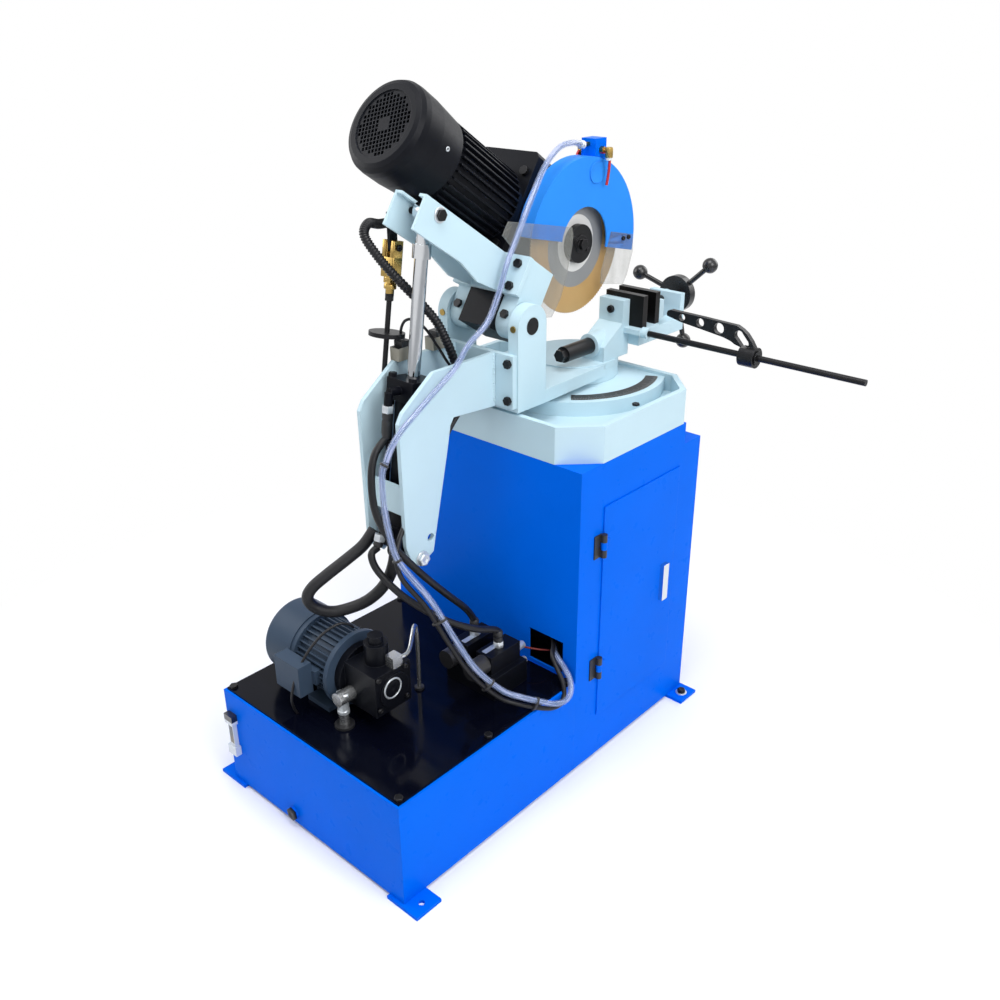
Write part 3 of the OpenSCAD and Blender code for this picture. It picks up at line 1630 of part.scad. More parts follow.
// Vise slide, handwheel and stop
module moving_jaw() {
    near = -vise_in - 2 * run_gap;
    z0 = bed_z + slide_gap;
    color(light_grey)
    difference() {
        union() {
            span([near - carrier_w, carrier_y, z0], [near, carrier_back_y, z0 + carrier_h]);
            span([bar_x - bar_r, carrier_y, bar_z - bar_r], [bar_x + bar_r, carrier_y + carrier_leg_t, z0 + over]);
            along_y(bar_r, carrier_y, carrier_y + bar_reach, bar_x, bar_z);
            hex_y(bar_end_r, carrier_y + bar_reach - over, carrier_y + bar_reach + bar_end_l, bar_x, bar_z);
        }
        along_y(screw_r + run_gap, carrier_y - over, carrier_y + carrier_t / 2, screw_x, screw_z);
    }
}

bar_reach = swivel_y + column_rear + boss_out - carrier_y + bar_rear / 2;

module moving_jaw_plate() {
    color(black) jaw_plate(jaw_move_y, carrier_back_y);
}

module handwheel() {
    color(black) {
        along_y(screw_r, wheel_y, carrier_y + carrier_t / 2 - gap, screw_x, screw_z);
        along_y(hub_disc_r, wheel_y - hub_disc_t, wheel_y, screw_x, screw_z);
        along_y(hub_boss_r, wheel_y - hub_disc_t - hub_boss_t, wheel_y - over, screw_x, screw_z);
        translate([screw_x, wheel_y - hub_disc_t / 2, screw_z])
            for (k = [0 : spoke_n - 1]) {
                rotate([0, -spoke_turn - 360 * k / spoke_n, 0]) {
                    rotate([0, 90, 0]) cylinder(r = spoke_r, h = wheel_r);
                    translate([wheel_r, 0, 0]) sphere(r = ball_r);
                }
            }
    }
}

module stop_bush() {
    color(steel)
    difference() {
        union() {
            along_x(bush_r, bush_x - bush_l / 2, bush_x + bush_l / 2, stop_y, stop_z);
            for (s = [-1, 1]) {
                along_x(bush_lip_r, bush_x + s * (bush_l + bush_lip_t) / 2 - bush_lip_t / 2,
                        bush_x + s * (bush_l + bush_lip_t) / 2 + bush_lip_t / 2, stop_y, stop_z);
            }
        }
        along_x(stop_r + run_gap, bush_x - bush_l, bush_x + bush_l, stop_y, stop_z);
    }
}

module stop_arm() {
    holes = scaled(stop_hole_shares, stop_arm_l, stop_arm_h);
    oval = scaled(stop_oval_shares, stop_arm_l, stop_arm_h);
    color(black)
    difference() {
        union() {
            along_x(stop_hub_r, bush_x - bush_l / 2 + gap, bush_x + bush_l / 2 - gap, stop_y, stop_z);
            translate([bush_x, 0, stop_z])
                slab_y(stop_y - stop_arm_t / 2, stop_y + stop_arm_t / 2)
                    polygon(scaled(stop_arm_shares, stop_arm_l, stop_arm_h));
        }
        along_x(bush_r + run_gap, bush_x - bush_l, bush_x + bush_l, stop_y, stop_z);
        translate([bush_x, 0, stop_z]) {
            for (i = [0 : len(holes) - 1]) {
                along_y(stop_hole_rs[i], stop_y - stop_arm_t, stop_y + stop_arm_t, holes[i][0], holes[i][1]);
            }
            for (p = oval) {
                along_y(stop_oval_r, stop_y - stop_arm_t, stop_y + stop_arm_t, p[0], p[1]);
            }
            translate([oval[0][0], stop_y, oval[0][1]])
                rotate([0, -atan2(oval[1][1] - oval[0][1], oval[1][0] - oval[0][0]), 0])
                    translate([0, -stop_arm_t, gap - stop_oval_r])
                        cube([norm(oval[1] - oval[0]), 2 * stop_arm_t, 2 * (stop_oval_r - gap)]);
        }
    }
}

// Hose routes, chosen by hand along the photographed hoses for this place of the cabinet's back
route_back_y = -45;
upper_route = [[-6, -383, 1394], [-10, -350, 1402], [-16, -296, 1398], [-24, -239, 1367], [-42, -170, 1306],
    [-60, -102, 1235], [-64, -69, 1190], [-62, -48, 1138], [-60, -13, 1080], [-62, 48, 1044],
    [-80, 109, 1012], [-80, 188, 966], [-79, 252, 927], [-77, 283, 897], [-76, 301, 868]];
lower_route = [[-76, 302, 867], [-75, 310, 853], [-75, 313, 826], [-75, 311, 768], [-77, 296, 673], [-96, 285, 628],
    [-135, 250, 552], [-175, 224, 464], [-212, 200, 392], [-245, 152, 325], [-274, 120, 303],
    [-297, 85, 284], [-309, 50, 264], [-311, 15, 252], [-307, -12, 260], [-293, -26, 282],
    [-272, -30, 303], [-248, -36, 316], [-226, -52, 316], [-206, -75, 314]];
conduit_route = [[103, 50, 1296], [100, 86, 1283], [98, 130, 1282], [94, 164, 1288], [86, 182, 1268],
    [66, 168, 1228], [48, 140, 1185], [34, 95, 1132], [14, 63, 1083], [2, 42, 1030], [0, 12, 968], [0, -29.9, 960]];
oil_route_a = [[-94, 79, 370.3], [-94, 79, 392], [-94, 83, 415], [-96, 110, 455], [-98, 170, 520], [-90, 230, 590],
    [-58, 272, 655], [-25, 290, 730], [-8, 284, 800], [2, 262, 850], [2, 229, 876]];
oil_route_b = [[-168, 79, 370.3], [-168, 79, 392], [-167, 85, 415], [-160, 150, 447], [-130, 215, 490], [-72, 268, 545],
    [-20, 290, 595], [-2, 292, 630], [0, 272, 640]];
bundle_route = [[32, 252, 664], [40, 278, 634], [54, 312, 610], [76, 351, 580], [95, 381, 552], [101, 391, 527],
    [94, 375, 499], [74, 344, 484], [40, 302, 496], [10, 280, 523], [-15, 264, 562], [-33, 258, 610], [-36, 252, 660]];

module with_cabinet() {
    translate([0, cab_back_y - route_back_y, 0]) children();
}

module coolant_hose_upper() {
    color(clear) with_cabinet() cord(upper_route, hose_r, [1, 0, 0]);
}

module coolant_hose_lower() {
    color(clear) with_cabinet() cord(lower_route, hose_r, [1, 0.2, 0.1]);
}

module motor_conduit() {
    color(black) with_cabinet() ribbed(conduit_route, conduit_r, conduit_rib, conduit_bore_r, [1, 0.1, 0]);
}

module lower_hoses() {
    color(black) with_cabinet() {
        cord(oil_route_a, oil_hose_r, [1, 0, 0]);
        cord(oil_route_b, oil_hose_r, [1, 0.3, 0]);
        cord(bundle_route, bundle_r, [0.3, -1, 0.2]);
    }
}

anchor_feet();
tank();
tank_lid();
lid_bolts();
level_gauge();
cabinet();
hinge_leaves();
electrical_panel();
coolant_pump();
tray();
scale_plate();
vise_base();
vise_column();
fixed_jaw();
stop_rod();
pump_motor();
pump_fan_cover();
oil_pump();
oil_pipes();
valve_block();
solenoid_coils();
pump_rotor();
door();
latch_handle();
swivel_casting();
pivot_shaft();
bracket();
bracket_bolts();
limit_switches();
front_plunger();
rear_plunger();
head_casting();
pivot_knuckles();
lever_arm();
head_bolts();
motor_body();
motor_fan_cover();
blade_guard();
rear_shield();
front_shield();
coolant_manifold();
coolant_tubes();
trip_link();
spindle();
blade();
blade_flange();
worm_shaft();
motor_rotor();
piston_rod();
cylinder_barrel();
trip_rod();
moving_jaw();
moving_jaw_plate();
handwheel();
stop_bush();
stop_arm();
coolant_hose_upper();
coolant_hose_lower();
motor_conduit();
lower_hoses();
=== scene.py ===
"""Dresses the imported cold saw: finishes for its solids, hoses, cables, small fittings and a stage."""

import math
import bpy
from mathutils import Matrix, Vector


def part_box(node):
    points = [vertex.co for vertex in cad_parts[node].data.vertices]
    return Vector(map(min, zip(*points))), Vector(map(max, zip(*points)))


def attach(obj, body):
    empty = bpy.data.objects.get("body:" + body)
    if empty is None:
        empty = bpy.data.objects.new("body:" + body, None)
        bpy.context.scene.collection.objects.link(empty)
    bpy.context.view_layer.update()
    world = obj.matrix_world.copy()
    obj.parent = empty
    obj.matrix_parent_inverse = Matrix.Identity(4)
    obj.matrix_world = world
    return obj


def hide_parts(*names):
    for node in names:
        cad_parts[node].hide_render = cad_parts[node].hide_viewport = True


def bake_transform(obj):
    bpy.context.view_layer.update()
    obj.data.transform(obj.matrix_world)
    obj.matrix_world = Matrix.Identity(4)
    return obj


bl_info = {
    "name": "Cold Saw Dressing",
    "version": (1, 0, 0),
    "blender": (4, 5, 0),
    "location": "View3D > Sidebar > Cold Saw",
    "description": "Finishes, hoses, cables and small fittings of a hydraulic cold saw",
    "category": "Object",
}

import bpy
from bpy.props import FloatProperty, FloatVectorProperty, PointerProperty
from mathutils import Matrix, Vector

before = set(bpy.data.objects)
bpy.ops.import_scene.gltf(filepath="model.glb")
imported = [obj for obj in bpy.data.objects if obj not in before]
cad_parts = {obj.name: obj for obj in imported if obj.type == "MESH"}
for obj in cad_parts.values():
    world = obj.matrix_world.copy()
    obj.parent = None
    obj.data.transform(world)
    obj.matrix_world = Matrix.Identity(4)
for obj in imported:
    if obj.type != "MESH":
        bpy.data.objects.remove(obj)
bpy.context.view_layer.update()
MM = 0.001
LEFT, RIGHT, BACK, FRONT, UP = (-1, 0, 0), (1, 0, 0), (0, 1, 0), (0, -1, 0), (0, 0, 1)


# Values that a user may change ------------------------------------------------

def tint(name, words, default):
    """One colour of the finish sheet."""
    return FloatVectorProperty(name=name, description=words, subtype="COLOR", size=3, min=0, max=1,
                               default=default)


def length(name, words, default):
    """One length of the size sheet, in metres."""
    return FloatProperty(name=name, description=words, subtype="DISTANCE", unit="LENGTH",
                         default=default, precision=4)


class SawColours(bpy.types.PropertyGroup):
    """Colours of the paints, metals and plastics"""
    cabinet_blue: tint("Cabinet blue", "Enamel of cabinet, tank and door", (0.000, 0.132, 0.790))
    guard_blue: tint("Guard blue", "Enamel of the blade guard", (0.030, 0.250, 0.820))
    pale_grey: tint("Pale grey", "Enamel of the castings and plates", (0.505, 0.672, 0.750))
    satin_black: tint("Satin black", "Enamel of motor and gearbox", (0.003, 0.0035, 0.006))
    slate: tint("Slate", "Enamel of the pump's motor", (0.038, 0.060, 0.096))
    gold: tint("Gold", "Hard coating of the blade", (0.680, 0.420, 0.165))
    steel: tint("Steel", "Ground and plated steel", (0.600, 0.610, 0.620))
    brass: tint("Brass", "Clevis, nuts and small screws", (0.560, 0.380, 0.120))
    liquid: tint("Coolant", "Coolant that shows in the clear hose", (0.045, 0.120, 0.300))


class SawSizes(bpy.types.PropertyGroup):
    """Sizes of the hoses and cables"""
    coolant_d: length("Coolant hose", "Outer diameter of the clear hose", 0.015)
    conduit_d: length("Motor conduit", "Outer diameter of the ribbed conduit", 0.020)
    oil_d: length("Oil hose", "Outer diameter of the pressure hoses", 0.016)
    bundle_d: length("Cable bundle", "Outer diameter of the sleeved bundle", 0.026)
    control_d: length("Control cable", "Outer diameter of the cable beside the coolant hose", 0.011)
    cable_d: length("Cable", "Outer diameter of the thin cables", 0.006)


# Where one finish ends and the next begins, in metres ---------------------------

BLADE_COAT_R, BLADE_PALE_R, BLADE_RAGGED = 0.103, 0.067, 0.004
SCALE_AXIS = (0.0, -0.378)
SCALE_MARKS = ((1.0, 0.201), (5.0, 0.196), (10.0, 0.190))  # step in degrees, inner radius
MARK_HALF = 0.09  # degrees
GAUGE_END, GAUGE_SIDE, GAUGE_OIL, GAUGE_CAP = 0.032, 0.008, 0.052, 0.016
TRIP_BRASS, SWITCH_CAP, TUBE_NUT = 0.105, 0.0125, 0.022
JAW_BAR_TOP, GROMMET_TOP = 0.980, 0.2725
GRUB_Z, GRUB_HALF = 1.065, 0.010
BLACK = (0.014, 0.014, 0.016)
PUMP_BLACK = (0.003, 0.0035, 0.006)


# Shader maths -----------------------------------------------------------------

EDGE_STRENGTH = 6.0


def toned(colour, share, lift=0.0):
    """A colour times a share, plus a lift."""
    return tuple(share * c + lift for c in colour)


def maths(operation, swap=False):
    """A Python operator that adds a maths node."""
    def method(self, other):
        a, b = (other, self) if swap else (self, other)
        return self.kit.node("ShaderNodeMath", {"operation": operation}, {0: a, 1: b})
    return method


class Val:
    """A shader socket that takes part in Python sums."""

    def __init__(self, kit, socket):
        self.kit, self.socket = kit, socket

    __add__, __radd__ = maths("ADD"), maths("ADD", True)
    __sub__, __rsub__ = maths("SUBTRACT"), maths("SUBTRACT", True)
    __mul__, __rmul__ = maths("MULTIPLY"), maths("MULTIPLY", True)
    __truediv__, __pow__ = maths("DIVIDE"), maths("POWER")
    __gt__, __lt__ = maths("GREATER_THAN"), maths("LESS_THAN")


class Finish:
    """One material with its nodes."""

    def __init__(self, name):
        self.material = bpy.data.materials.new(name)
        self.material.use_nodes = True
        self.tree = self.material.node_tree
        self.shader = self.tree.nodes["Principled BSDF"]
        self.place = self.node("ShaderNodeTexCoord", out="Object")

    def node(self, kind, settings=None, inputs=None, out=0):
        """Adds a node, sets it up, and gives one of its outputs."""
        made = self.tree.nodes.new(kind)
        for key, value in (settings or {}).items():
            if key == "stops":
                ramp = made.color_ramp.elements
                while len(ramp) < len(value):
                    ramp.new(0.5)
                for stop, (position, level) in zip(ramp, value):
                    stop.position, stop.color = position, (level, level, level, 1)
            else:
                setattr(made, key, value)
        for key, value in (inputs or {}).items():
            self.feed(made.inputs[key], value)
        return Val(self, made.outputs[out])

    def feed(self, socket, value):
        """Links a value or sets a number or colour."""
        if isinstance(value, Val):
            self.tree.links.new(value.socket, socket)
        elif hasattr(value, "__len__") and len(value) == 3 and len(socket.default_value) == 4:
            socket.default_value = (*value, 1)
        else:
            socket.default_value = value

    def axes(self):
        """x, y and z of the place on the object."""
        split = self.tree.nodes.new("ShaderNodeSeparateXYZ")
        self.tree.links.new(self.place.socket, split.inputs[0])
        return [Val(self, split.outputs[k]) for k in range(3)]

    def stretched(self, scale):
        """The place, scaled by axis."""
        return self.node("ShaderNodeMapping", {}, {"Vector": self.place, "Scale": scale})

    def along(self, scale):
        """A hose's own map, scaled: round it in turns, along it in metres."""
        uv = self.node("ShaderNodeUVMap", {"uv_map": "along"})
        return self.node("ShaderNodeMapping", {}, {"Vector": uv, "Scale": scale})

    def noise(self, scale, detail, vector=None):
        """Cloudy noise from 0 to 1."""
        inputs = {"Vector": vector or self.place, "Scale": scale, "Detail": detail}
        return self.node("ShaderNodeTexNoise", {}, inputs)

    def ramp(self, value, *stops):
        """A value run through grey stops."""
        return self.node("ShaderNodeValToRGB", {"stops": stops}, {0: value})

    def mix(self, mask, a, b):
        """Colour a where the mask is 0, colour b where it is 1."""
        return self.node("ShaderNodeMix", {"data_type": "RGBA"}, {0: mask, 6: a, 7: b}, 2)

    def shade(self, colour, mask, share):
        """A colour that gets darker with the mask."""
        return self.mix(mask, colour, toned(colour, share))

    def rounded(self, radius):
        """The normal, with the edges rounded."""
        return self.node("ShaderNodeBevel", {"samples": 4}, {"Radius": radius})

    def edges(self, radius):
        """About 1 on outer and inner edges, 0 on flat faces."""
        flat = self.node("ShaderNodeNewGeometry", out="Normal")
        dot = {"operation": "DOT_PRODUCT"}
        same = self.node("ShaderNodeVectorMath", dot, {0: self.rounded(radius), 1: flat}, "Value")
        clamp = {"operation": "MULTIPLY", "use_clamp": True}
        return self.node("ShaderNodeMath", clamp, {0: 1 - same, 1: EDGE_STRENGTH})

    def bump(self, height, strength, distance, radius=0.0):
        """A normal for the height, on softened edges where a radius is given."""
        inputs = {"Height": height, "Strength": strength, "Distance": distance}
        if radius:
            inputs["Normal"] = self.rounded(radius)
        return self.node("ShaderNodeBump", {}, inputs)

    def done(self, **sockets):
        """Feeds the shader and gives the material."""
        for name, value in sockets.items():
            self.feed(self.shader.inputs[name.replace("_", " ")], value)
        return self.material


# Finishes ---------------------------------------------------------------------

def enamel(name, colour, gloss):
    """Sprayed paint: faint cloudiness, orange peel and slightly lighter edges."""
    f = Finish(name)
    edge = 0.0015
    cloud = f.ramp(f.noise(5.0, 4.0), (0.35, 0.0), (0.75, 1.0))
    rubbed = f.edges(edge)
    base = f.mix(rubbed * 0.10, f.shade(colour, cloud * 0.5, 0.88), toned(colour, 0.8, 0.10))
    return f.done(Base_Color=base, Roughness=gloss + 0.10 * f.noise(38.0, 3.0),
                  Specular_IOR_Level=0.02, Normal=f.bump(f.noise(420.0, 2.0), 0.10, 0.0004, edge))


def cast_enamel(name, colour):
    """Paint over cast iron and welded plate: a coarse skin under the paint, grey in its hollows."""
    f = Finish(name)
    edge = 0.002
    skin = f.noise(95.0, 5.0)
    cloud = f.ramp(f.noise(7.0, 4.0), (0.3, 0.0), (0.8, 1.0))
    worn = f.edges(edge)
    base = f.mix(worn * 0.18, f.shade(colour, cloud * 0.5, 0.90), toned(colour, 0.75, 0.18))
    return f.done(Base_Color=base, Roughness=0.40 + 0.14 * skin, Coat_Weight=0.05, Coat_Roughness=0.2,
                  Specular_IOR_Level=0.25, Normal=f.bump(skin, 0.16, 0.0006, edge))


def machine_black(name, colour, gloss=0.34, grain=160.0):
    """Satin paint with a fine skin, dusty grey on its edges."""
    f = Finish(name)
    edge = 0.0012
    skin = f.noise(grain, 3.0)
    dust = f.ramp(f.noise(11.0, 5.0), (0.45, 0.0), (0.9, 1.0))
    worn = f.edges(edge)
    base = f.mix(worn * 0.30 + dust * 0.03, colour, (0.08, 0.09, 0.11))
    return f.done(Base_Color=base, Roughness=gloss + 0.16 * skin, Specular_IOR_Level=0.12,
                  Normal=f.bump(skin, 0.18, 0.0005, edge))


def lid_black(name):
    """Glossy black plate with wiped oil smears."""
    f = Finish(name)
    streaks = f.noise(6.0, 6.0, f.stretched((1.0, 2.6, 1.0)))
    smear = f.ramp(streaks, (0.42, 0.0), (0.8, 1.0))
    base = f.mix(smear * 0.30, (0.0015, 0.002, 0.006), (0.006, 0.008, 0.016))
    return f.done(Base_Color=base, Roughness=0.09 + 0.22 * smear, Specular_IOR_Level=0.10,
                  Normal=f.bump(f.noise(14.0, 2.0), 0.04, 0.001, 0.001))


def dark_steel(name, colour=(0.022, 0.022, 0.024)):
    """Blackened steel with an oily sheen and lighter edges."""
    f = Finish(name)
    edge = 0.0009
    grain = f.noise(260.0, 3.0)
    worn = f.edges(edge)
    base = f.mix(worn * 0.55, f.shade(colour, f.noise(30.0, 4.0), 0.6), (0.16, 0.16, 0.17))
    return f.done(Base_Color=base, Roughness=0.30 + 0.15 * grain, Metallic=0.75,
                  Normal=f.bump(grain, 0.12, 0.0003, edge))


def bright_steel(name, colour, gloss=0.18, metal=1.0):
    """Ground or plated metal with a fine grain and darker patches."""
    f = Finish(name)
    grain = f.noise(240.0, 3.0)
    base = f.shade(colour, f.noise(24.0, 4.0) * 0.5, 0.66)
    return f.done(Base_Color=base, Metallic=metal, Roughness=gloss + 0.12 * grain,
                  Normal=f.bump(grain, 0.05, 0.0002, 0.0006))


def moulded(name, colour, gloss=0.42):
    """Moulded plastic with a fine eroded skin."""
    f = Finish(name)
    skin = f.noise(700.0, 2.0)
    cloud = f.ramp(f.noise(18.0, 3.0), (0.4, 0.0), (0.8, 1.0))
    return f.done(Base_Color=f.shade(colour, cloud * 0.5, 0.8), Roughness=gloss + 0.1 * skin,
                  Normal=f.bump(skin, 0.15, 0.0003, 0.0007))


def split_finish(name, mask_of, first, second):
    """Two finishes on one node, parted by a mask. Each is (colour, metallic, roughness)."""
    f = Finish(name)
    mask = mask_of(*f.axes())
    grain = f.noise(220.0, 3.0)
    cloud = f.noise(22.0, 4.0)
    colour = f.mix(mask, f.shade(first[0], cloud, 0.7), f.shade(second[0], cloud, 0.7))
    metal = first[1] + mask * (second[1] - first[1])
    rough = first[2] + mask * (second[2] - first[2]) + 0.1 * grain
    return f.done(Base_Color=colour, Metallic=metal, Roughness=rough,
                  Normal=f.bump(grain, 0.1, 0.0003, 0.0008))


def blade_coating(name, hub, gold, steel):
    """Golden hard coating round a ring-brushed middle, with a pale ring at the flange."""
    f = Finish(name)
    x, y, z = f.axes()
    radius = ((y - hub.y) ** 2 + (z - hub.z) ** 2) ** 0.5
    turns = f.node("ShaderNodeCombineXYZ", {}, {0: radius * 2600.0, 1: x * 40.0})
    rings = f.noise(1.0, 4.0, turns)
    wipe = f.noise(26.0, 5.0)
    edge = radius + BLADE_RAGGED * wipe
    brushed = f.mix(rings, toned(steel, 0.62), toned(steel, 0.40))
    middle = f.mix(edge < BLADE_PALE_R, brushed, (0.80, 0.79, 0.77))
    coat = f.shade(gold, rings * 0.6 + wipe * 0.4, 0.72)
    return f.done(Base_Color=f.mix(edge > BLADE_COAT_R, middle, coat), Metallic=0.2,
                  Roughness=0.30 + 0.16 * rings, Normal=f.bump(rings, 0.12, 0.0002))


def clear_sheet(name):
    """Smoky plastic sheet, hazy with scratches and dried coolant."""
    f = Finish(name)
    haze = f.ramp(f.noise(9.0, 6.0, f.stretched((1.0, 2.0, 0.7))), (0.30, 0.0), (0.85, 1.0))
    lines = f.noise(1.0, 2.0, f.stretched((300.0, 46.0, 420.0)))
    scratch = f.ramp(lines, (0.62, 0.0), (0.72, 1.0))
    cover = 0.16 + 0.24 * haze + 0.12 * scratch + 0.40 * f.edges(0.0015)
    base = f.mix(haze, (0.42, 0.43, 0.42), (0.24, 0.235, 0.20))
    return f.done(Base_Color=base, Alpha=cover, Roughness=0.08 + 0.2 * haze, Coat_Weight=0.3,
                  Coat_Roughness=0.05)


def clear_hose(name):
    """Clear vinyl hose: a see-through wall with a soft shine."""
    f = Finish(name)
    haze = f.noise(60.0, 3.0)
    return f.done(Base_Color=(0.50, 0.60, 0.85), Alpha=0.12 + 0.12 * haze, Roughness=0.07 + 0.05 * haze,
                  Coat_Weight=1.0, Coat_Roughness=0.03)


def hose_liquid(name, colour):
    """Coolant inside the hose, with pale streaks along it that are painted highlights."""
    f = Finish(name)
    painted_highlight_streak = f.noise(1.0, 4.0, f.along((11.0, 14.0, 1.0)))
    # Pale streaks along the hose are painted highlights; the same streaks also make the coolant more
    # opaque.
    light = f.ramp(painted_highlight_streak, (0.46, 0.0), (0.60, 1.0))
    return f.done(Base_Color=f.mix(light, colour, (0.50, 0.54, 0.80)), Alpha=0.35 + 0.5 * painted_highlight_streak,
                  Roughness=0.20, Coat_Weight=0.3)


def rubber(name, colour=(0.008, 0.008, 0.010), weave=0.0):
    """Rubber or a braided sleeve, whose weave follows the hose."""
    f = Finish(name)
    if weave:
        inputs = {"Vector": f.along((26.0, weave, 1.0)), "Scale": 1.0}
        height = f.node("ShaderNodeTexWave", {"bands_direction": "DIAGONAL"}, inputs)
    else:
        height = f.noise(240.0, 3.0)
    dust = f.ramp(f.noise(16.0, 4.0), (0.4, 0.0), (0.9, 1.0))
    base = f.mix(dust * 0.18, colour, toned(colour, 2.5, 0.02))
    return f.done(Base_Color=base, Roughness=0.38 + 0.15 * dust, Specular_IOR_Level=0.3,
                  Normal=f.bump(height, 0.3, 0.0006))


def scale_finish(name):
    """Dark scale band with light degree marks, longer at every fifth and tenth degree."""
    f = Finish(name)
    x, y, _ = f.axes()
    x, y = x - SCALE_AXIS[0], y - SCALE_AXIS[1]
    angle = f.node("ShaderNodeMath", {"operation": "ARCTAN2"}, {0: y, 1: x}) * (180 / math.pi)
    radius = (y ** 2 + x ** 2) ** 0.5
    mask = 0.0
    for step, inner in SCALE_MARKS:
        near = f.node("ShaderNodeMath", {"operation": "PINGPONG"}, {0: angle, 1: step / 2})
        mark = (near < MARK_HALF) * (radius > inner)
        mask = f.node("ShaderNodeMath", {"operation": "MAXIMUM"}, {0: mask, 1: mark})
    wipe = f.noise(30.0, 4.0)
    base = f.mix(mask * 0.7, f.shade((0.055, 0.052, 0.050), wipe, 0.7), (0.45, 0.45, 0.44))
    return f.done(Base_Color=base, Metallic=0.6, Roughness=0.34 + 0.2 * wipe,
                  Normal=f.bump(wipe, 0.05, 0.0003))


def window_finish(name, place):
    """Oil gauge: a plated frame with a black cap, a dark window and the oil level behind it."""
    f = Finish(name)
    x, _, z = f.axes()
    low, high = place
    tall = (z > low.z + GAUGE_END) * (z < high.z - GAUGE_END)
    middle = tall * (x > low.x + GAUGE_SIDE) * (x < high.x - GAUGE_SIDE)
    oil = middle * (z < low.z + GAUGE_OIL)
    surround = f.mix(z > high.z - GAUGE_CAP, (0.60, 0.64, 0.70), (0.012, 0.012, 0.014))
    base = f.mix(oil, f.mix(middle, surround, (0.030, 0.036, 0.050)), (0.10, 0.062, 0.018))
    skin = f.noise(180.0, 3.0)
    return f.done(Base_Color=base, Roughness=0.14 + 0.2 * skin, Coat_Weight=0.5,
                  Normal=f.bump(skin, 0.08, 0.0003, 0.0008))


# Modelling helpers ------------------------------------------------------------

CREASE_ANGLE, ROUND_ANGLE, BEVEL_ANGLE = 32.0, 60.0, 30.0


def clear_selection():
    """Nothing is selected, so an operator acts only on what comes next."""
    bpy.ops.object.select_all(action="DESELECT")


def only(piece):
    """Selects one piece and makes it active."""
    clear_selection()
    piece.select_set(True)
    bpy.context.view_layer.objects.active = piece


def begin(name, add, **settings):
    """Adds a primitive under a name."""
    clear_selection()
    add(**settings)
    piece = bpy.context.active_object
    piece.name = piece.data.name = name
    bpy.ops.object.transform_apply(location=True, rotation=True, scale=True)
    return piece


def edit(piece, kind, items, chosen, steps):
    """Selects the chosen faces or edges of a piece and runs edit-mode operators on them."""
    only(piece)
    mesh = piece.data
    for kept in (mesh.vertices, mesh.edges, mesh.polygons):
        kept.foreach_set("select", [False] * len(kept))
    for i in chosen:
        items[i].select = True
    bpy.ops.object.mode_set(mode="EDIT")
    bpy.ops.mesh.select_mode(type=kind)
    for operator, settings in steps:
        operator(**settings)
    bpy.ops.object.mode_set(mode="OBJECT")


def shape(piece, test, *steps):
    """Runs edit-mode operators on the faces whose normal passes the test."""
    faces = piece.data.polygons
    edit(piece, "FACE", faces, [face.index for face in faces if test(face.normal)], steps)


def shape_edges(piece, test, *steps):
    """Runs edit-mode operators on the edges whose direction passes the test."""
    points, edges = piece.data.vertices, piece.data.edges
    chosen = []
    for edge in edges:
        a, b = (points[i].co for i in edge.vertices)
        if test((b - a).normalized()):
            chosen.append(edge.index)
    edit(piece, "EDGE", edges, chosen, steps)


def apply(piece, kind, **settings):
    """Adds a modifier and applies it."""
    only(piece)
    made = piece.modifiers.new(kind.title(), kind)
    for key, value in settings.items():
        setattr(made, key, value)
    bpy.ops.object.modifier_apply(modifier=made.name)


def put(piece, at, axis, side=None):
    """Turns a piece built along +Z to an axis and moves it, in millimetres, within its mesh."""
    along = Vector(axis).normalized()
    across = along.orthogonal() if side is None else Vector(side) - Vector(side).dot(along) * along
    across.normalize()
    turn = Matrix((across, along.cross(across), along)).transposed().to_4x4()
    piece.data.transform(Matrix.Translation(Vector(at) * MM) @ turn)
    return piece


def turned(name, profile, sides=28):
    """A solid along +Z through (radius, height) steps in millimetres. Six sides give a hexagon."""
    (radius, height), *rest = profile
    piece = begin(name, bpy.ops.mesh.primitive_circle_add, vertices=sides, radius=radius * MM,
                  fill_type="NGON", location=(0, 0, height * MM))
    steps = []
    for wide, high in rest:
        rise = {"value": (0, 0, (high - height) * MM)}
        steps.append((bpy.ops.mesh.extrude_region_move, {"TRANSFORM_OT_translate": rise}))
        steps.append((bpy.ops.transform.resize, {"value": (wide / radius, wide / radius, 1)}))
        radius, height = wide, high
    steps.append((bpy.ops.mesh.select_all, {"action": "SELECT"}))
    steps.append((bpy.ops.mesh.normals_make_consistent, {"inside": False}))
    shape(piece, lambda normal: True, *steps)
    return piece


def hexagon(name, radius, height):
    """A hexagon head or nut with a chamfered top."""
    return turned(name, [(radius, 0), (radius, 0.82 * height), (0.86 * radius, height),
                         (0.45 * radius, height), (0.42 * radius, 0.9 * height)], 6)


def socket_screw(name, radius, height):
    """A socket head with its recess."""
    return turned(name, [(0.96 * radius, 0), (radius, 0.08 * height), (radius, 0.86 * height),
                         (0.88 * radius, height), (0.5 * radius, height),
                         (0.46 * radius, 0.45 * height)])


def washer(name, radius, height):
    """A flat washer with a shallow step round its bore."""
    return turned(name, [(radius, 0), (radius, 0.7 * height), (0.93 * radius, height),
                         (0.6 * radius, height), (0.56 * radius, 0.7 * height)], 36)


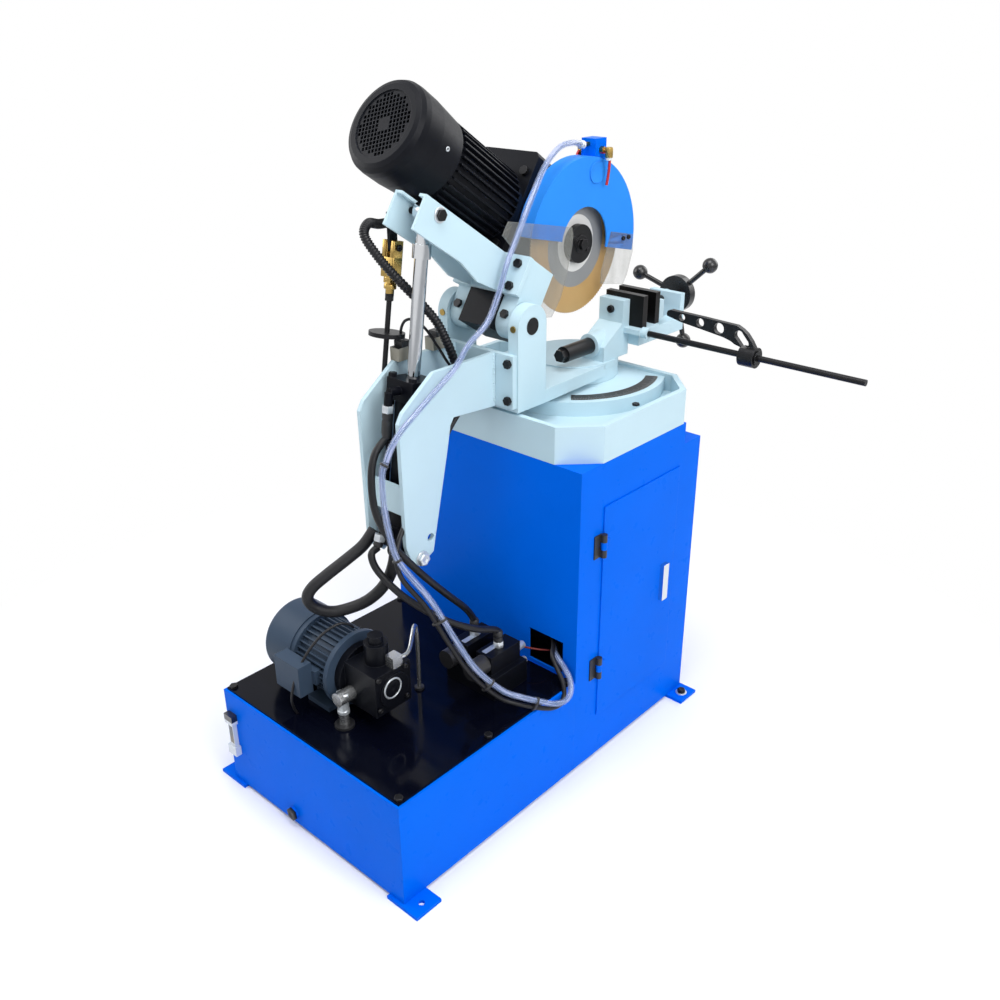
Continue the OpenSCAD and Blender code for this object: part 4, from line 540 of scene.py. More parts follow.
def plate(name, wide, deep, thick, corner, rim):
    """A plate on +Z with round corners and a raised rim."""
    size = (wide * MM, deep * MM, thick * MM)
    piece = begin(name, bpy.ops.mesh.primitive_cube_add, size=1, scale=size,
                  location=(0, 0, size[2] / 2))
    shape_edges(piece, lambda along: abs(along.z) > 0.9,
                (bpy.ops.mesh.bevel, {"offset": corner * MM, "segments": 6}))
    down = {"TRANSFORM_OT_translate": {"value": (0, 0, -0.3 * size[2])}}
    shape(piece, lambda normal: normal.z > 0.9,
          (bpy.ops.mesh.inset, {"thickness": rim * MM}),
          (bpy.ops.mesh.extrude_region_move, down))
    return piece


def gather(name, pieces):
    """Joins pieces into one."""
    clear_selection()
    for piece in pieces:
        piece.select_set(True)
    made = bpy.context.view_layer.objects.active = pieces[0]
    if len(pieces) > 1:
        bpy.ops.object.join()
    made.name = made.data.name = name
    return made


def close(piece, material, body=None, bevel=0.0, angle=CREASE_ANGLE):
    """Rounds the edges, smooths the shading, paints the piece and lets it ride."""
    if bevel:
        apply(piece, "BEVEL", width=bevel, segments=2, limit_method="ANGLE",
              angle_limit=math.radians(BEVEL_ANGLE))
    only(piece)
    bpy.ops.object.shade_smooth_by_angle(angle=math.radians(angle))
    piece.data.materials.clear()
    piece.data.materials.append(material)
    if body:
        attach(piece, body)


# Cords: routes in millimetres, bends between two bodies in metres ---------------

UPPER_HOSE = [(-6, -383, 1394), (-10, -350, 1402), (-16, -296, 1398), (-24, -239, 1367),
              (-42, -170, 1306), (-60, -102, 1235), (-64, -69, 1190), (-62, -48, 1138),
              (-60, -13, 1080), (-62, 48, 1044), (-80, 109, 1012), (-80, 188, 966), (-79, 252, 927),
              (-77, 283, 897), (-76, 301, 868)]
LOWER_HOSE = [(-76, 302, 867), (-75, 310, 853), (-75, 313, 826), (-75, 311, 768), (-77, 296, 673),
              (-96, 285, 628), (-135, 250, 552), (-175, 224, 464), (-212, 200, 392), (-245, 152, 325),
              (-274, 120, 303), (-297, 85, 284), (-309, 50, 264), (-311, 15, 252), (-307, -12, 260),
              (-293, -26, 282), (-272, -30, 303), (-248, -36, 316), (-226, -52, 316), (-206, -75, 314)]
CONDUIT = [(103, 50, 1296), (100, 86, 1283), (98, 130, 1282), (94, 164, 1288), (86, 182, 1268),
           (66, 168, 1228), (48, 140, 1185), (34, 95, 1132), (14, 63, 1083), (2, 42, 1030),
           (0, 12, 968), (0, -29.9, 960)]
OIL_HOSE_A = [(-94, 79, 370.3), (-94, 79, 392), (-94, 83, 415), (-96, 110, 455), (-98, 170, 520),
              (-90, 230, 590), (-58, 272, 655), (-25, 290, 730), (-8, 284, 800), (2, 262, 850),
              (2, 229, 876)]
SPLIT_AT = 6  # the point of hose a where it goes over from the table to the cylinder
OIL_HOSE_B = [(-168, 79, 370.3), (-168, 79, 392), (-167, 85, 415), (-160, 150, 447),
              (-130, 215, 490), (-72, 268, 545), (-20, 290, 595), (-2, 292, 630), (0, 272, 640)]
BUNDLE = [(32, 252, 664), (40, 278, 634), (54, 312, 610), (76, 351, 580), (95, 381, 552),
          (101, 391, 527), (94, 375, 499), (74, 344, 484), (40, 302, 496), (10, 280, 523),
          (-15, 264, 562), (-33, 258, 610), (-36, 252, 660)]
CONTROL = [(-45, -28, 930), (-45, 20, 925), (-45, 80, 880), (-45, 150, 800), (-48, 215, 722),
           (-62, 270, 664), (-88, 290, 612), (-130, 259, 537), (-170, 234, 450), (-207, 208, 377),
           (-240, 160, 310), (-268, 128, 287), (-290, 92, 268), (-301, 52, 249), (-303, 20, 243),
           (-298, 0, 256), (-286, -8, 282), (-268, -12, 304), (-246, -20, 326), (-222, -52, 334),
           (-200, -75, 330)]
RED_WIRE = [(-90, 26, 300), (-95, 12, 303), (-112, -2, 309), (-138, -12, 314), (-166, -20, 316),
            (-190, -34, 314), (-205, -55, 308), (-212, -75, 300)]
PUMP_LEAD = [(44, 318, 444), (48, 330, 456), (56, 352, 462), (67, 388, 448), (78, 427, 410),
             (84, 456, 362), (88, 468, 316), (90, 464, 286), (90, 456, 266)]
SWITCH_LEAD = [(53, 126, 1051), (53, 128, 1072), (50, 118, 1090), (46, 96, 1088), (40, 70, 1064),
               (26, 50, 1024), (8, 34, 984), (0, 10, 962)]
HEAD_BEND = ("head", "turntable", (-0.06, -0.10, 1.20), (-0.06, 0.05, 1.04))
CONDUIT_BEND = ("head", "turntable", (0.05, 0.15, 1.20), (0.01, 0.04, 1.02))
SWIVEL_BEND = ("turntable", "base", (-0.09, 0.285, 0.66), (-0.30, 0.07, 0.275))
VALVE_BEND = ("base", "turntable", (-0.10, 0.085, 0.405), (-0.06, 0.27, 0.66))
ROUTE_STEPS, CONDUIT_STEPS = 10, 32
CONDUIT_RIB = 0.0016
LIQUID_SHARE, WIRE_SHARE = 0.36, 0.7
TIES = (0.4, 4.5, 6.5, 8.6, 10.8)  # places along the lower hose, in points
TIE_R = 9.6
TIE_REACH = 0.030


def smooth_route(points, steps=ROUTE_STEPS):
    """A smooth curve through the route points."""
    points = [Vector(p) * MM for p in points]
    last = len(points) - 1
    route = []
    for i in range(last):
        a, b, c, d = points[max(i - 1, 0)], points[i], points[i + 1], points[min(i + 2, last)]
        for k in range(steps):
            t = k / steps
            route.append((2 * b + (c - a) * t + (2 * a - 5 * b + 4 * c - d) * t * t
                          + (3 * b - a - 3 * c + d) * t * t * t) / 2)
    return route + [points[last]]


def tube(name, route, radius_at, sides=20):
    """A closed tube along a route, with a UV map: u round the tube in turns, v along it in metres."""
    heading = (route[1] - route[0]).normalized()
    side = heading.orthogonal().normalized()
    rings, travel = [], [0.0]
    for i, point in enumerate(route):
        ahead = (route[min(i + 1, len(route) - 1)] - route[max(i - 1, 0)]).normalized()
        side = (heading.rotation_difference(ahead) @ side).normalized()
        heading = ahead
        across = heading.cross(side)
        r = radius_at(i)
        rings.append([point + r * (math.cos(a) * side + math.sin(a) * across)
                      for a in (2 * math.pi * k / sides for k in range(sides))])
        if i:
            travel.append(travel[-1] + (point - route[i - 1]).length)
    verts = [v for ring in rings for v in ring]
    faces, uvs = [], []
    for i in range(len(rings) - 1):
        for k in range(sides):
            j = (k + 1) % sides
            faces.append((i * sides + k, i * sides + j, (i + 1) * sides + j, (i + 1) * sides + k))
            u, w = k / sides, (k + 1) / sides
            uvs += [(u, travel[i]), (w, travel[i]), (w, travel[i + 1]), (u, travel[i + 1])]
    end = (len(rings) - 1) * sides
    for cap in (tuple(reversed(range(sides))), tuple(range(end, end + sides))):
        faces.append(cap)
        uvs += [(0.5, 0.0)] * sides
    mesh = bpy.data.meshes.new(name)
    mesh.from_pydata(verts, [], faces)
    layer = mesh.uv_layers.new(name="along")
    layer.data.foreach_set("uv", [c for uv in uvs for c in uv])
    piece = bpy.data.objects.new(name, mesh)
    bpy.context.scene.collection.objects.link(piece)
    mesh.shade_smooth()
    return piece


def hose(name, points, diameter, material, steps=ROUTE_STEPS, sides=20, bend=None, body=None, rib=0.0,
         **facts):
    """A hose along its route. A rib and the gap after it are two rings each."""
    route = smooth_route(points, steps)
    radius = diameter / 2
    piece = tube(name, route, lambda i: radius - rib * (i % 4 in (2, 3)), sides)
    close(piece, material, angle=ROUND_ANGLE)
    if bend:
        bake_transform(piece)
    else:
        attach(piece, body)
    return piece


# Materials are made once and shared -------------------------------------------

FINISH = {}
PAINTED = {
    "cabinet_blue": "anchor_feet tank cabinet door coolant_manifold",
    "guard_blue": "blade_guard",
    "pale_grey": "tray vise_base vise_column swivel_casting bracket pivot_knuckles lever_arm",
    "satin_black": "head_casting motor_body motor_fan_cover trip_link",
    "pump_black": "oil_pump valve_block cylinder_barrel",
    "slate": "pump_motor pump_fan_cover coolant_pump",
    "lid_black": "tank_lid",
    "dark_steel": "lid_bolts head_bolts pivot_shaft blade_flange stop_arm stop_rod stop_bush",
    "jaw_steel": "fixed_jaw moving_jaw_plate",
    "steel": "front_plunger rear_plunger spindle worm_shaft motor_rotor pump_rotor",
    "chrome": "latch_handle piston_rod",
    "jaw": "moving_jaw",
    "grub": "bracket_bolts",
    "pipes": "oil_pipes",
    "knob_black": "handwheel",
    "plastic_black": "solenoid_coils hinge_leaves electrical_panel",
    "blade": "blade",
    "clear_sheet": "rear_shield front_shield",
    "scale": "scale_plate",
    "gauge": "level_gauge",
    "trip": "trip_rod",
    "switch": "limit_switches",
    "tubes": "coolant_tubes",
    "clear_hose": "coolant_hose_upper coolant_hose_lower",
    "rubber": "motor_conduit lower_hoses",
}


class SAW_OT_finishes(bpy.types.Operator):
    """Makes the finishes and paints every solid"""
    bl_idname = "saw.finishes"
    bl_label = "Finishes"

    def execute(self, context):
        c = context.scene.saw_colours
        grey, steel, brass = tuple(c.pale_grey), tuple(c.steel), tuple(c.brass)
        hub = sum(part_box("blade"), Vector()) / 2
        trip, switch, tubes = (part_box(n)[1].z for n in ("trip_rod", "limit_switches", "coolant_tubes"))
        FINISH.update(
            cabinet_blue=enamel("cabinet_blue_enamel", tuple(c.cabinet_blue), 0.24),
            guard_blue=enamel("guard_blue_enamel", tuple(c.guard_blue), 0.28),
            pale_grey=cast_enamel("pale_grey_enamel", grey),
            satin_black=machine_black("satin_black_enamel", tuple(c.satin_black)),
            pump_black=machine_black("pump_black_enamel", PUMP_BLACK, 0.28, 240.0),
            slate=machine_black("slate_enamel", tuple(c.slate), 0.32, 120.0),
            lid_black=lid_black("lid_gloss_black"),
            dark_steel=dark_steel("dark_steel"),
            jaw_steel=dark_steel("jaw_steel", (0.014, 0.013, 0.013)),
            zinc=bright_steel("zinc_plate", (0.66, 0.70, 0.74), 0.24, 0.6),
            bare_plate=bright_steel("bare_name_plate", (0.40, 0.46, 0.58), 0.30, 0.3),
            white=moulded("white_nylon", (0.72, 0.74, 0.76)),
            red_wire=rubber("red_brown_wire", (0.16, 0.022, 0.018)),
            steel=bright_steel("bright_steel", steel),
            chrome=bright_steel("polished_chrome", (0.72, 0.74, 0.77), 0.06),
            brass=bright_steel("turned_brass", brass, 0.22),
            knob_black=moulded("knob_black", (0.010, 0.010, 0.011), 0.22),
            plastic_black=moulded("plastic_black", BLACK),
            blade=blade_coating("blade_coating", hub, tuple(c.gold), steel),
            clear_sheet=clear_sheet("clear_sheet"),
            clear_hose=clear_hose("clear_hose"),
            liquid=hose_liquid("hose_liquid", tuple(c.liquid)),
            rubber=rubber("black_rubber"),
            sleeve=rubber("braided_sleeve", weave=900.0),
            scale=scale_finish("scale_marks"),
            gauge=window_finish("gauge_window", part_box("level_gauge")),
            trip=split_finish("trip_rod_metals", lambda x, y, z: z > trip - TRIP_BRASS,
                              (BLACK, 0.6, 0.35), (brass, 1.0, 0.2)),
            switch=split_finish("switch_plastics", lambda x, y, z: z > switch - SWITCH_CAP,
                                ((0.36, 0.34, 0.28), 0.0, 0.45), (BLACK, 0.0, 0.35)),
            jaw=split_finish("jaw_paint_and_bar", lambda x, y, z: z < JAW_BAR_TOP,
                             (grey, 0.0, 0.40), (BLACK, 0.5, 0.30)),
            grub=split_finish("black_and_brass_screws",
                              lambda x, y, z: (z > GRUB_Z - GRUB_HALF) * (z < GRUB_Z + GRUB_HALF),
                              (BLACK, 0.6, 0.35), (brass, 1.0, 0.25)),
            pipes=split_finish("pipes_and_grommets", lambda x, y, z: z < GROMMET_TOP,
                               (steel, 0.9, 0.20), (BLACK, 0.0, 0.45)),
            tubes=split_finish("red_tubes", lambda x, y, z: z > tubes - TUBE_NUT,
                               ((0.62, 0.012, 0.014), 0.0, 0.2), (brass, 1.0, 0.22)),
        )
        for finish, nodes in PAINTED.items():
            for node in nodes.split():
                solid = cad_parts[node]
                solid.data.materials.clear()
                solid.data.materials.append(FINISH[finish])
        return {"FINISHED"}


class SAW_OT_hoses(bpy.types.Operator):
    """Lays the coolant hose, the conduit, the pressure hoses and the cable bundle"""
    bl_idname = "saw.hoses"
    bl_label = "Hoses"

    def execute(self, context):
        s = context.scene.saw_sizes
        for name, points, bend in (("coolant_hose_upper", UPPER_HOSE, HEAD_BEND),
                                   ("coolant_hose_lower", LOWER_HOSE, SWIVEL_BEND)):
            core = tube(name + "_liquid", smooth_route(points), lambda i: LIQUID_SHARE * s.coolant_d, 16)
            close(core, FINISH["liquid"], angle=ROUND_ANGLE)
            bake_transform(core)
            wall = hose(name + "_wall", points, s.coolant_d, FINISH["clear_hose"], bend=bend,
                        with_pieces=[core])
            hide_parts(name)
        black = FINISH["rubber"]
        conduit = hose("motor_conduit_ribs", CONDUIT, s.conduit_d, black, steps=CONDUIT_STEPS,
                       bend=CONDUIT_BEND, rib=CONDUIT_RIB)
        low = hose("oil_hose_a_lower", OIL_HOSE_A[:SPLIT_AT + 1], s.oil_d, black, bend=VALVE_BEND)
        high = hose("oil_hose_a_upper", OIL_HOSE_A[SPLIT_AT:], s.oil_d, black, body="barrel")
        second = hose("oil_hose_b", OIL_HOSE_B, s.oil_d, black, bend=VALVE_BEND)
        bundle = hose("cable_bundle", BUNDLE, s.bundle_d, FINISH["sleeve"], body="turntable")
        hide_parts("motor_conduit")
        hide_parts("lower_hoses")
        return {"FINISHED"}


class SAW_OT_cables(bpy.types.Operator):
    """Lays the thin cables and ties the coolant hose to its control cable"""
    bl_idname = "saw.cables"
    bl_label = "Cables"

    def execute(self, context):
        s = context.scene.saw_sizes
        for name, points, size, finish, ways in (
                ("control_cable", CONTROL, s.control_d, "rubber", {"bend": SWIVEL_BEND}),
                ("red_wire", RED_WIRE, WIRE_SHARE * s.cable_d, "red_wire", {"body": "base"}),
                ("pump_lead", PUMP_LEAD, s.cable_d, "rubber", {"body": "base"}),
                ("switch_lead", SWITCH_LEAD, s.cable_d, "rubber", {"body": "turntable"})):
            hose(name, points, size, FINISH[finish], sides=14, **ways)
        clear, black = smooth_route(LOWER_HOSE), smooth_route(CONTROL)
        for i, share in enumerate(TIES):
            ring = round(share * ROUTE_STEPS)
            at = clear[ring]
            apart = min(black, key=lambda point: (point - at).length) - at
            tie = turned("hose_tie_%d" % (i + 1), [(TIE_R - 0.4, -2.4), (TIE_R, -1.8), (TIE_R, 1.8),
                                                   (TIE_R - 0.4, 2.4)])
            both = apart.length < TIE_REACH
            if both:
                wide = 1 + apart.length / MM / TIE_R / 2
                tie.data.transform(Matrix.Diagonal((wide, 1, 1, 1)))
            put(tie, (at + 0.5 * apart * both) / MM, clear[ring + 1] - at, apart)
            close(tie, FINISH["plastic_black"], angle=ROUND_ANGLE)
            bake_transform(tie)
        return {"FINISHED"}


# Small fittings: places in millimetres, profiles as (radius, height) ------------

FAN_SCREWS = [((8.1, 24.8, 1421.9), LEFT), ((103, -25.6, 1498.6), (0, -0.549, 0.836)),
              ((197.9, 24.8, 1421.9), RIGHT)]
GUARD_SCREWS = [((-30, -524, 1171), LEFT), ((-30, -545, 1171), LEFT)]
LEVER_PIN, BASE_PIN = (99.8, 1311.7), (204, 609)
TUBE_R, TUBE_Y, NUT_Z, FERRULE_H = 5, -432.5, 1366, 6
FERRULE = [(6.4, 0), (7.2, 1), (7.2, 5), (6.4, FERRULE_H)]
HOSE_CLIP = [(8.2, 0), (9.4, 1), (9.4, 4), (8.2, 5), (8.2, 8), (9.4, 9), (9.4, 12), (8.2, 13)]
FORK_AT, FORK_LEAN = (75, 119, 1238), (0, -0.16, 0.987)
FORK_DEEP, CLIP_OUT = 26, 18
FORK_BLOCKS = ((36, 0, -60, -20), (10, -13, -20.5, 13), (10, 13, -20.5, 13))  # width, x, low, high
FORK_NECK = [(12, -84), (13, -83), (13, -74), (11, -73), (11, -66), (13, -65), (13, -59)]
WELD_X, WELD_Y, WELD_LOW, WELD_STEP, WELD_RINGS = 62.5, -28.5, 903, 1.6, 66
PORT_TOP = ((0, 221, 946), (0.02, 0.11, -0.99))
PORT_LOW = ((0, 262, 668), (0, 0.36, -0.93))
CRIMP_TOP = [(9.5, 14), (11, 16), (11, 26), (10.2, 28), (10.2, 32), (11, 34), (11, 58), (9.6, 64),
             (8.4, 70)]
CRIMP_LOW = [(9.5, 14), (10.6, 16), (10.6, 24), (8.6, 28)]
VALVE_FEET = [((-94, 79, 370), UP), ((-168, 79, 370), UP)]
VALVE_CRIMP = [(9.5, 13), (10.8, 15), (10.8, 21), (10.0, 22.5), (10.0, 25), (10.8, 26.5), (10.8, 38),
               (8.6, 42)]
VALVE_ENDS = [((-168, 31, 334), FRONT), ((-168, 24, 288), FRONT), ((-94, 31, 334), FRONT)]
VALVE_STUB = [(8, 0), (8, 8), (9.4, 8.6), (9.4, 34), (8.2, 37), (4, 37), (3.6, 34)]
VALVE_PLATES = ((-98, 95, 370), (-162, 95, 370))
ANCHOR_IN = (0.023, 0.035)
PUMP_Y, PUMP_Z, PUMP_FACE, PUMP_BOLT = 344, 368, -105, 38
PUMP_RING = [(25, 0), (25, 1.6), (24, 2.4), (21.4, 2.4), (20.8, 0.8)]
PUMP_DISC = [(20.7, 0.6), (20.7, 1.4), (20.0, 1.7), (3, 1.7), (2.6, 1.2)]
SUCTION = (-20, 413)
SUCTION_COLLAR = [(12.6, 0), (13.6, 1), (13.6, 9), (12.6, 10), (12.6, 30), (13.4, 31), (13.4, 36),
                  (12.2, 37)]


def fasten(name, make, sizes, places, finish, body):
    """One fitting modelled once and copied to its places, each (at, axis), as one piece."""
    pattern = make(name, *sizes)
    pieces = []
    for at, axis in places:
        piece = pattern.copy()
        piece.data = pattern.data.copy()
        bpy.context.scene.collection.objects.link(piece)
        pieces.append(put(piece, at, axis))
    bpy.data.objects.remove(pattern)
    close(gather(name, pieces), FINISH[finish], body, bevel=0.0003)


def both_ends(x, y, z):
    """The places at the two ends of a pin that lies along x."""
    return [((-x, y, z), LEFT), ((x, y, z), RIGHT)]


class SAW_OT_head_trim(bpy.types.Operator):
    """Adds the guard's pad, screws, pin washers and coolant fittings of the head"""
    bl_idname = "saw.head_trim"
    bl_label = "Head Trim"

    def execute(self, context):
        pad = put(plate("guard_pad", 54, 46, 3, 22, 0.6), (-27, -417, 1334), LEFT, BACK)
        close(pad, FINISH["guard_blue"], "head", bevel=0.0006)
        fasten("guard_screws", socket_screw, (5.5, 4.5), GUARD_SCREWS, "dark_steel", "head")
        fasten("fan_cover_screws", socket_screw, (5.0, 3.5), FAN_SCREWS, "zinc", "head")
        fasten("lever_pin_washers", washer, (16, 3), both_ends(43, *LEVER_PIN), "zinc", "head")
        near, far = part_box("coolant_tubes")
        middles = (near.x / MM + TUBE_R, far.x / MM - TUBE_R)
        nuts = [((x, TUBE_Y, NUT_Z), UP) for x in middles]
        ferrules = [((x, TUBE_Y, NUT_Z - FERRULE_H), UP) for x in middles]
        fasten("coolant_nuts", hexagon, (9.5, 22), nuts, "brass", "head")
        fasten("coolant_ferrules", turned, (FERRULE,), ferrules, "white", "head")
        clip = [((-6.2, -390, 1393.5), (-0.1, 0.96, 0.2))]
        fasten("hose_clip", turned, (HOSE_CLIP,), clip, "zinc", "head")
        return {"FINISHED"}


class SAW_OT_trip_fork(bpy.types.Operator):
    """Adds the brass fork over the trip rod's upper end"""
    bl_idname = "saw.trip_fork"
    bl_label = "Trip Fork"

    def execute(self, context):
        blocks = []
        for wide, middle, low, high in FORK_BLOCKS:
            block = plate("fork_block", wide, FORK_DEEP, high - low, 2.5, 1.5)
            block.data.transform(Matrix.Translation((middle * MM, 0, low * MM)))
            blocks.append(block)
        blocks.append(turned("fork_neck", FORK_NECK))
        for block in blocks:
            put(block, FORK_AT, FORK_LEAN, RIGHT)
        close(gather("trip_fork", blocks), FINISH["brass"], "trip", bevel=0.0008)
        x, y, z = FORK_AT
        clips = [((x - CLIP_OUT, y, z), LEFT), ((x + CLIP_OUT, y, z), RIGHT)]
        fasten("trip_clips", socket_screw, (7, 4), clips, "dark_steel", "trip")
        return {"FINISHED"}


class SAW_OT_turntable_trim(bpy.types.Operator):
    """Adds the base pin's nuts and the weld beads of the bracket"""
    bl_idname = "saw.turntable_trim"
    bl_label = "Turntable Trim"

    def execute(self, context):
        fasten("base_pin_washers", washer, (17, 3), both_ends(63, *BASE_PIN), "zinc", "turntable")
        fasten("base_pin_nuts", hexagon, (15.5, 8.5), both_ends(66, *BASE_PIN), "zinc", "turntable")
        beads = []
        for side in (-1, 1):
            route = [Vector((side * WELD_X, WELD_Y + 0.6 * (k % 3), WELD_LOW + k * WELD_STEP)) * MM
                     for k in range(WELD_RINGS)]
            beads.append(tube("weld", route, lambda i: (3.2 + 0.5 * math.sin(i * 1.5)) * MM, 12))
        close(gather("bracket_welds", beads), FINISH["pale_grey"], "turntable",
              angle=ROUND_ANGLE)
        return {"FINISHED"}


class SAW_OT_cylinder_fittings(bpy.types.Operator):
    """Adds the hose fittings at the cylinder's two ports and at the valves"""
    bl_idname = "saw.cylinder_fittings"
    bl_label = "Cylinder Fittings"

    def execute(self, context):
        fasten("port_nuts", hexagon, (13, 16), [PORT_TOP, PORT_LOW], "zinc", "barrel")
        fasten("port_ferrule_top", turned, (CRIMP_TOP,), [PORT_TOP], "plastic_black", "barrel")
        fasten("port_ferrule_low", turned, (CRIMP_LOW,), [PORT_LOW], "plastic_black", "barrel")
        fasten("valve_nuts", hexagon, (12.5, 15), VALVE_FEET, "zinc", "base")
        fasten("valve_ferrules", turned, (VALVE_CRIMP,), VALVE_FEET, "plastic_black", "base")
        fasten("valve_plungers", turned, (VALVE_STUB,), VALVE_ENDS, "zinc", "base")
        return {"FINISHED"}


class SAW_OT_base_trim(bpy.types.Operator):
    """Adds anchor bolts, the loose bolts of tray and column, the drain cap and bare plates"""
    bl_idname = "saw.base_trim"
    bl_label = "Base Trim"

    def execute(self, context):
        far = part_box("anchor_feet")[1]
        x, y = (far.x - ANCHOR_IN[0]) / MM, (far.y - ANCHOR_IN[1]) / MM
        corners = [(-x, -y), (x, -y)]
        washers, bolts = ([((*at, z), UP) for at in corners] for z in (8, 10.3))
        fasten("anchor_washers", washer, (15, 2.5), washers, "zinc", "base")
        fasten("anchor_bolts", hexagon, (11, 9), bolts, "dark_steel", "base")
        fasten("tray_bolt", hexagon, (9, 5), [((-268, -268, 875.6), UP)], "dark_steel", "base")
        fasten("column_screw", socket_screw, (9, 8), [((-70, -435.2, 1024), BACK)], "dark_steel", "base")
        fasten("drain_cap", hexagon, (17, 5), [((64, 516, 35), BACK)], "dark_steel", "base")
        cover = [((PUMP_FACE - 0.2, PUMP_Y, PUMP_Z), LEFT)]
        fasten("pump_ring", turned, (PUMP_RING, 40), cover, "zinc", "base")
        fasten("pump_disc", turned, (PUMP_DISC, 40), cover, "pump_black", "base")
        screws = [((PUMP_FACE, PUMP_Y + a, PUMP_Z + b), LEFT)
                  for a in (-PUMP_BOLT, PUMP_BOLT) for b in (-PUMP_BOLT, PUMP_BOLT)]
        fasten("pump_screws", socket_screw, (5.5, 5), screws, "dark_steel", "base")
        fasten("suction_collar", turned, (SUCTION_COLLAR,), [((*SUCTION, 300), UP)], "zinc", "base")
        fasten("suction_nuts", hexagon, (16, 15), [((*SUCTION, 337), UP)], "zinc", "base")
        plates = [put(plate("valve_plate", 52, 13, 1.0, 2, 1.2), at, UP, BACK) for at in VALVE_PLATES]
        close(gather("valve_plates", plates), FINISH["bare_plate"], "base", bevel=0.0002)
        return {"FINISHED"}


# Stage ------------------------------------------------------------------------

CAMERA_AT = Vector((-1.4827, 1.5137, 1.6706))
CAMERA_RIGHT = Vector((-0.7411, -0.6714, -0.0057))
CAMERA_AHEAD = Vector((0.6070, -0.6664, -0.4330))
CAMERA_LENS, SENSOR = 36.91, 36.0
FLOOR_SIZE, FLOOR_FADE = 40.0, 1.6
SKY_TINT, SKY_LEVEL = (0.94, 0.97, 1.0, 1), 0.50
LAMPS = (  # name, place, aim, size, watts
    ("key_lamp", (-3.2, 0.6, 3.0), (0, -0.1, 0.7), 2.2, 84.0),
    ("top_lamp", (-0.4, 0.4, 3.8), (0, 0, 0.7), 2.0, 66.0),
    ("rear_lamp", (2.8, 1.2, 2.2), (0, 0, 0.8), 2.0, 42.0),
    ("vise_lamp", (-0.6, -3.2, 2.2), (0, 0, 0.8), 2.0, 30.0),
)


def lamp(name, at, aim, size, watts):
    """One soft square lamp."""
    light = bpy.data.lights.new(name, "AREA")
    light.size, light.energy = size, watts
    made = bpy.data.objects.new(name, light)
    made.location = at
    made.rotation_euler = (Vector(aim) - Vector(at)).to_track_quat("-Z", "Y").to_euler()
    bpy.context.scene.collection.objects.link(made)


def floor_finish(name):
    """Pale matt floor that fades to plain white with distance."""
    f = Finish(name)
    base = f.mix(f.noise(2.0, 2.0), (0.92, 0.92, 0.92), (0.94, 0.94, 0.94))
    f.done(Base_Color=base, Roughness=0.9, Specular_IOR_Level=0.05)
    x, y, _ = f.axes()
    far = f.ramp((x * x + y * y) ** 0.5 / FLOOR_FADE, (0.42, 0.0), (1.0, 1.0))
    seen = f.node("ShaderNodeLightPath", out="Is Camera Ray")
    white = f.node("ShaderNodeEmission", {}, {"Color": (1, 1, 1), "Strength": 1.0})
    lit = Val(f, f.shader.outputs[0])
    both = f.node("ShaderNodeMixShader", {}, {0: far * seen, 1: lit, 2: white})
    f.feed(f.tree.nodes["Material Output"].inputs["Surface"], both)
    return f.material


def studio(name):
    """A dim world that is plain white to the camera, in reflections and through clear parts."""
    world = bpy.data.worlds.new(name)
    world.use_nodes = True
    nodes, links = world.node_tree.nodes, world.node_tree.links
    dim, white = nodes["Background"], nodes.new("ShaderNodeBackground")
    for sky, colour, level in ((dim, SKY_TINT, SKY_LEVEL), (white, (1, 1, 1, 1), 1.0)):
        sky.inputs["Color"].default_value = colour
        sky.inputs["Strength"].default_value = level
    path, mix = nodes.new("ShaderNodeLightPath"), nodes.new("ShaderNodeMixShader")
    seen = path.outputs["Is Camera Ray"]
    for ray in ("Is Glossy Ray", "Is Transmission Ray"):
        either = nodes.new("ShaderNodeMath")
        either.operation, either.use_clamp = "ADD", True
        links.new(seen, either.inputs[0])
        links.new(path.outputs[ray], either.inputs[1])
        seen = either.outputs[0]
    for i, output in enumerate((seen, dim.outputs[0], white.outputs[0])):
        links.new(output, mix.inputs[i])
    links.new(mix.outputs[0], nodes["World Output"].inputs[0])
    return world


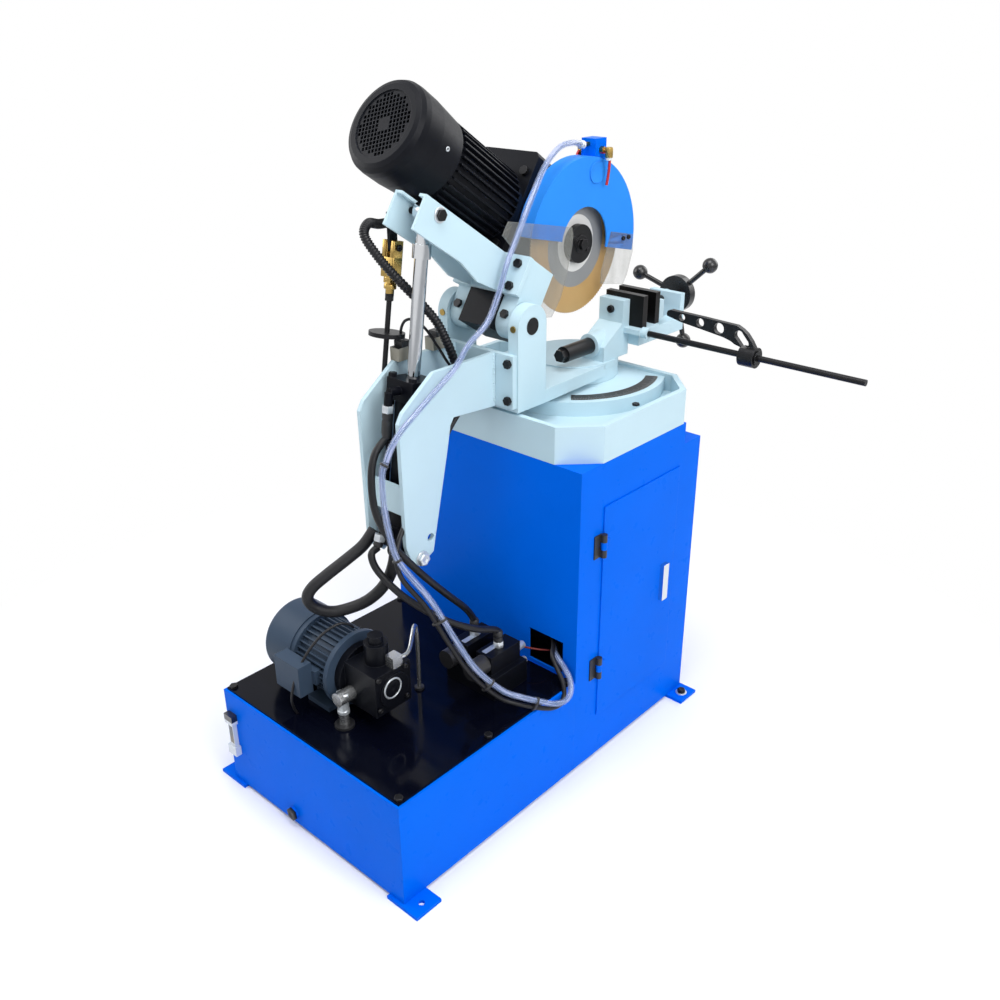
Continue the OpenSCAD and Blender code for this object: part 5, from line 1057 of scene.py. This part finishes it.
class SAW_OT_stage(bpy.types.Operator):
    """Sets up the camera, a pale floor and soft studio light"""
    bl_idname = "saw.stage"
    bl_label = "Stage"

    def execute(self, context):
        scene = context.scene
        scene.view_settings.view_transform = "Standard"
        back = -CAMERA_AHEAD.normalized()
        right = (CAMERA_RIGHT - CAMERA_RIGHT.dot(back) * back).normalized()
        up = back.cross(right)
        camera = bpy.data.objects.new("camera", bpy.data.cameras.new("camera"))
        camera.data.lens, camera.data.sensor_width = CAMERA_LENS, SENSOR
        camera.matrix_world = Matrix((right, up, back)).transposed().to_4x4()
        camera.location = CAMERA_AT
        scene.collection.objects.link(camera)
        scene.camera = camera
        floor = begin("floor", bpy.ops.mesh.primitive_plane_add, size=FLOOR_SIZE)
        close(floor, floor_finish("pale_floor"))
        scene.world = studio("studio")
        for values in LAMPS:
            lamp(*values)
        return {"FINISHED"}


# Panel and registration -------------------------------------------------------

OPERATORS = (SAW_OT_stage, SAW_OT_finishes, SAW_OT_hoses, SAW_OT_cables, SAW_OT_head_trim,
             SAW_OT_trip_fork, SAW_OT_turntable_trim, SAW_OT_cylinder_fittings, SAW_OT_base_trim)


class SAW_PT_panel(bpy.types.Panel):
    """Lists the steps of the dressing"""
    bl_label = "Cold Saw"
    bl_idname = "SAW_PT_panel"
    bl_space_type = "VIEW_3D"
    bl_region_type = "UI"
    bl_category = "Cold Saw"

    def draw(self, context):
        for operator in OPERATORS:
            self.layout.operator(operator.bl_idname)


CLASSES = (SawColours, SawSizes, *OPERATORS, SAW_PT_panel)


def register():
    for item in CLASSES:
        bpy.utils.register_class(item)
    bpy.types.Scene.saw_colours = PointerProperty(type=SawColours)
    bpy.types.Scene.saw_sizes = PointerProperty(type=SawSizes)


def unregister():
    del bpy.types.Scene.saw_sizes
    del bpy.types.Scene.saw_colours
    for item in reversed(CLASSES):
        bpy.utils.unregister_class(item)


def main():
    register()
    for operator in OPERATORS:
        group, name = operator.bl_idname.split(".")
        getattr(getattr(bpy.ops, group), name)()


if __name__ == "__main__":
    main()
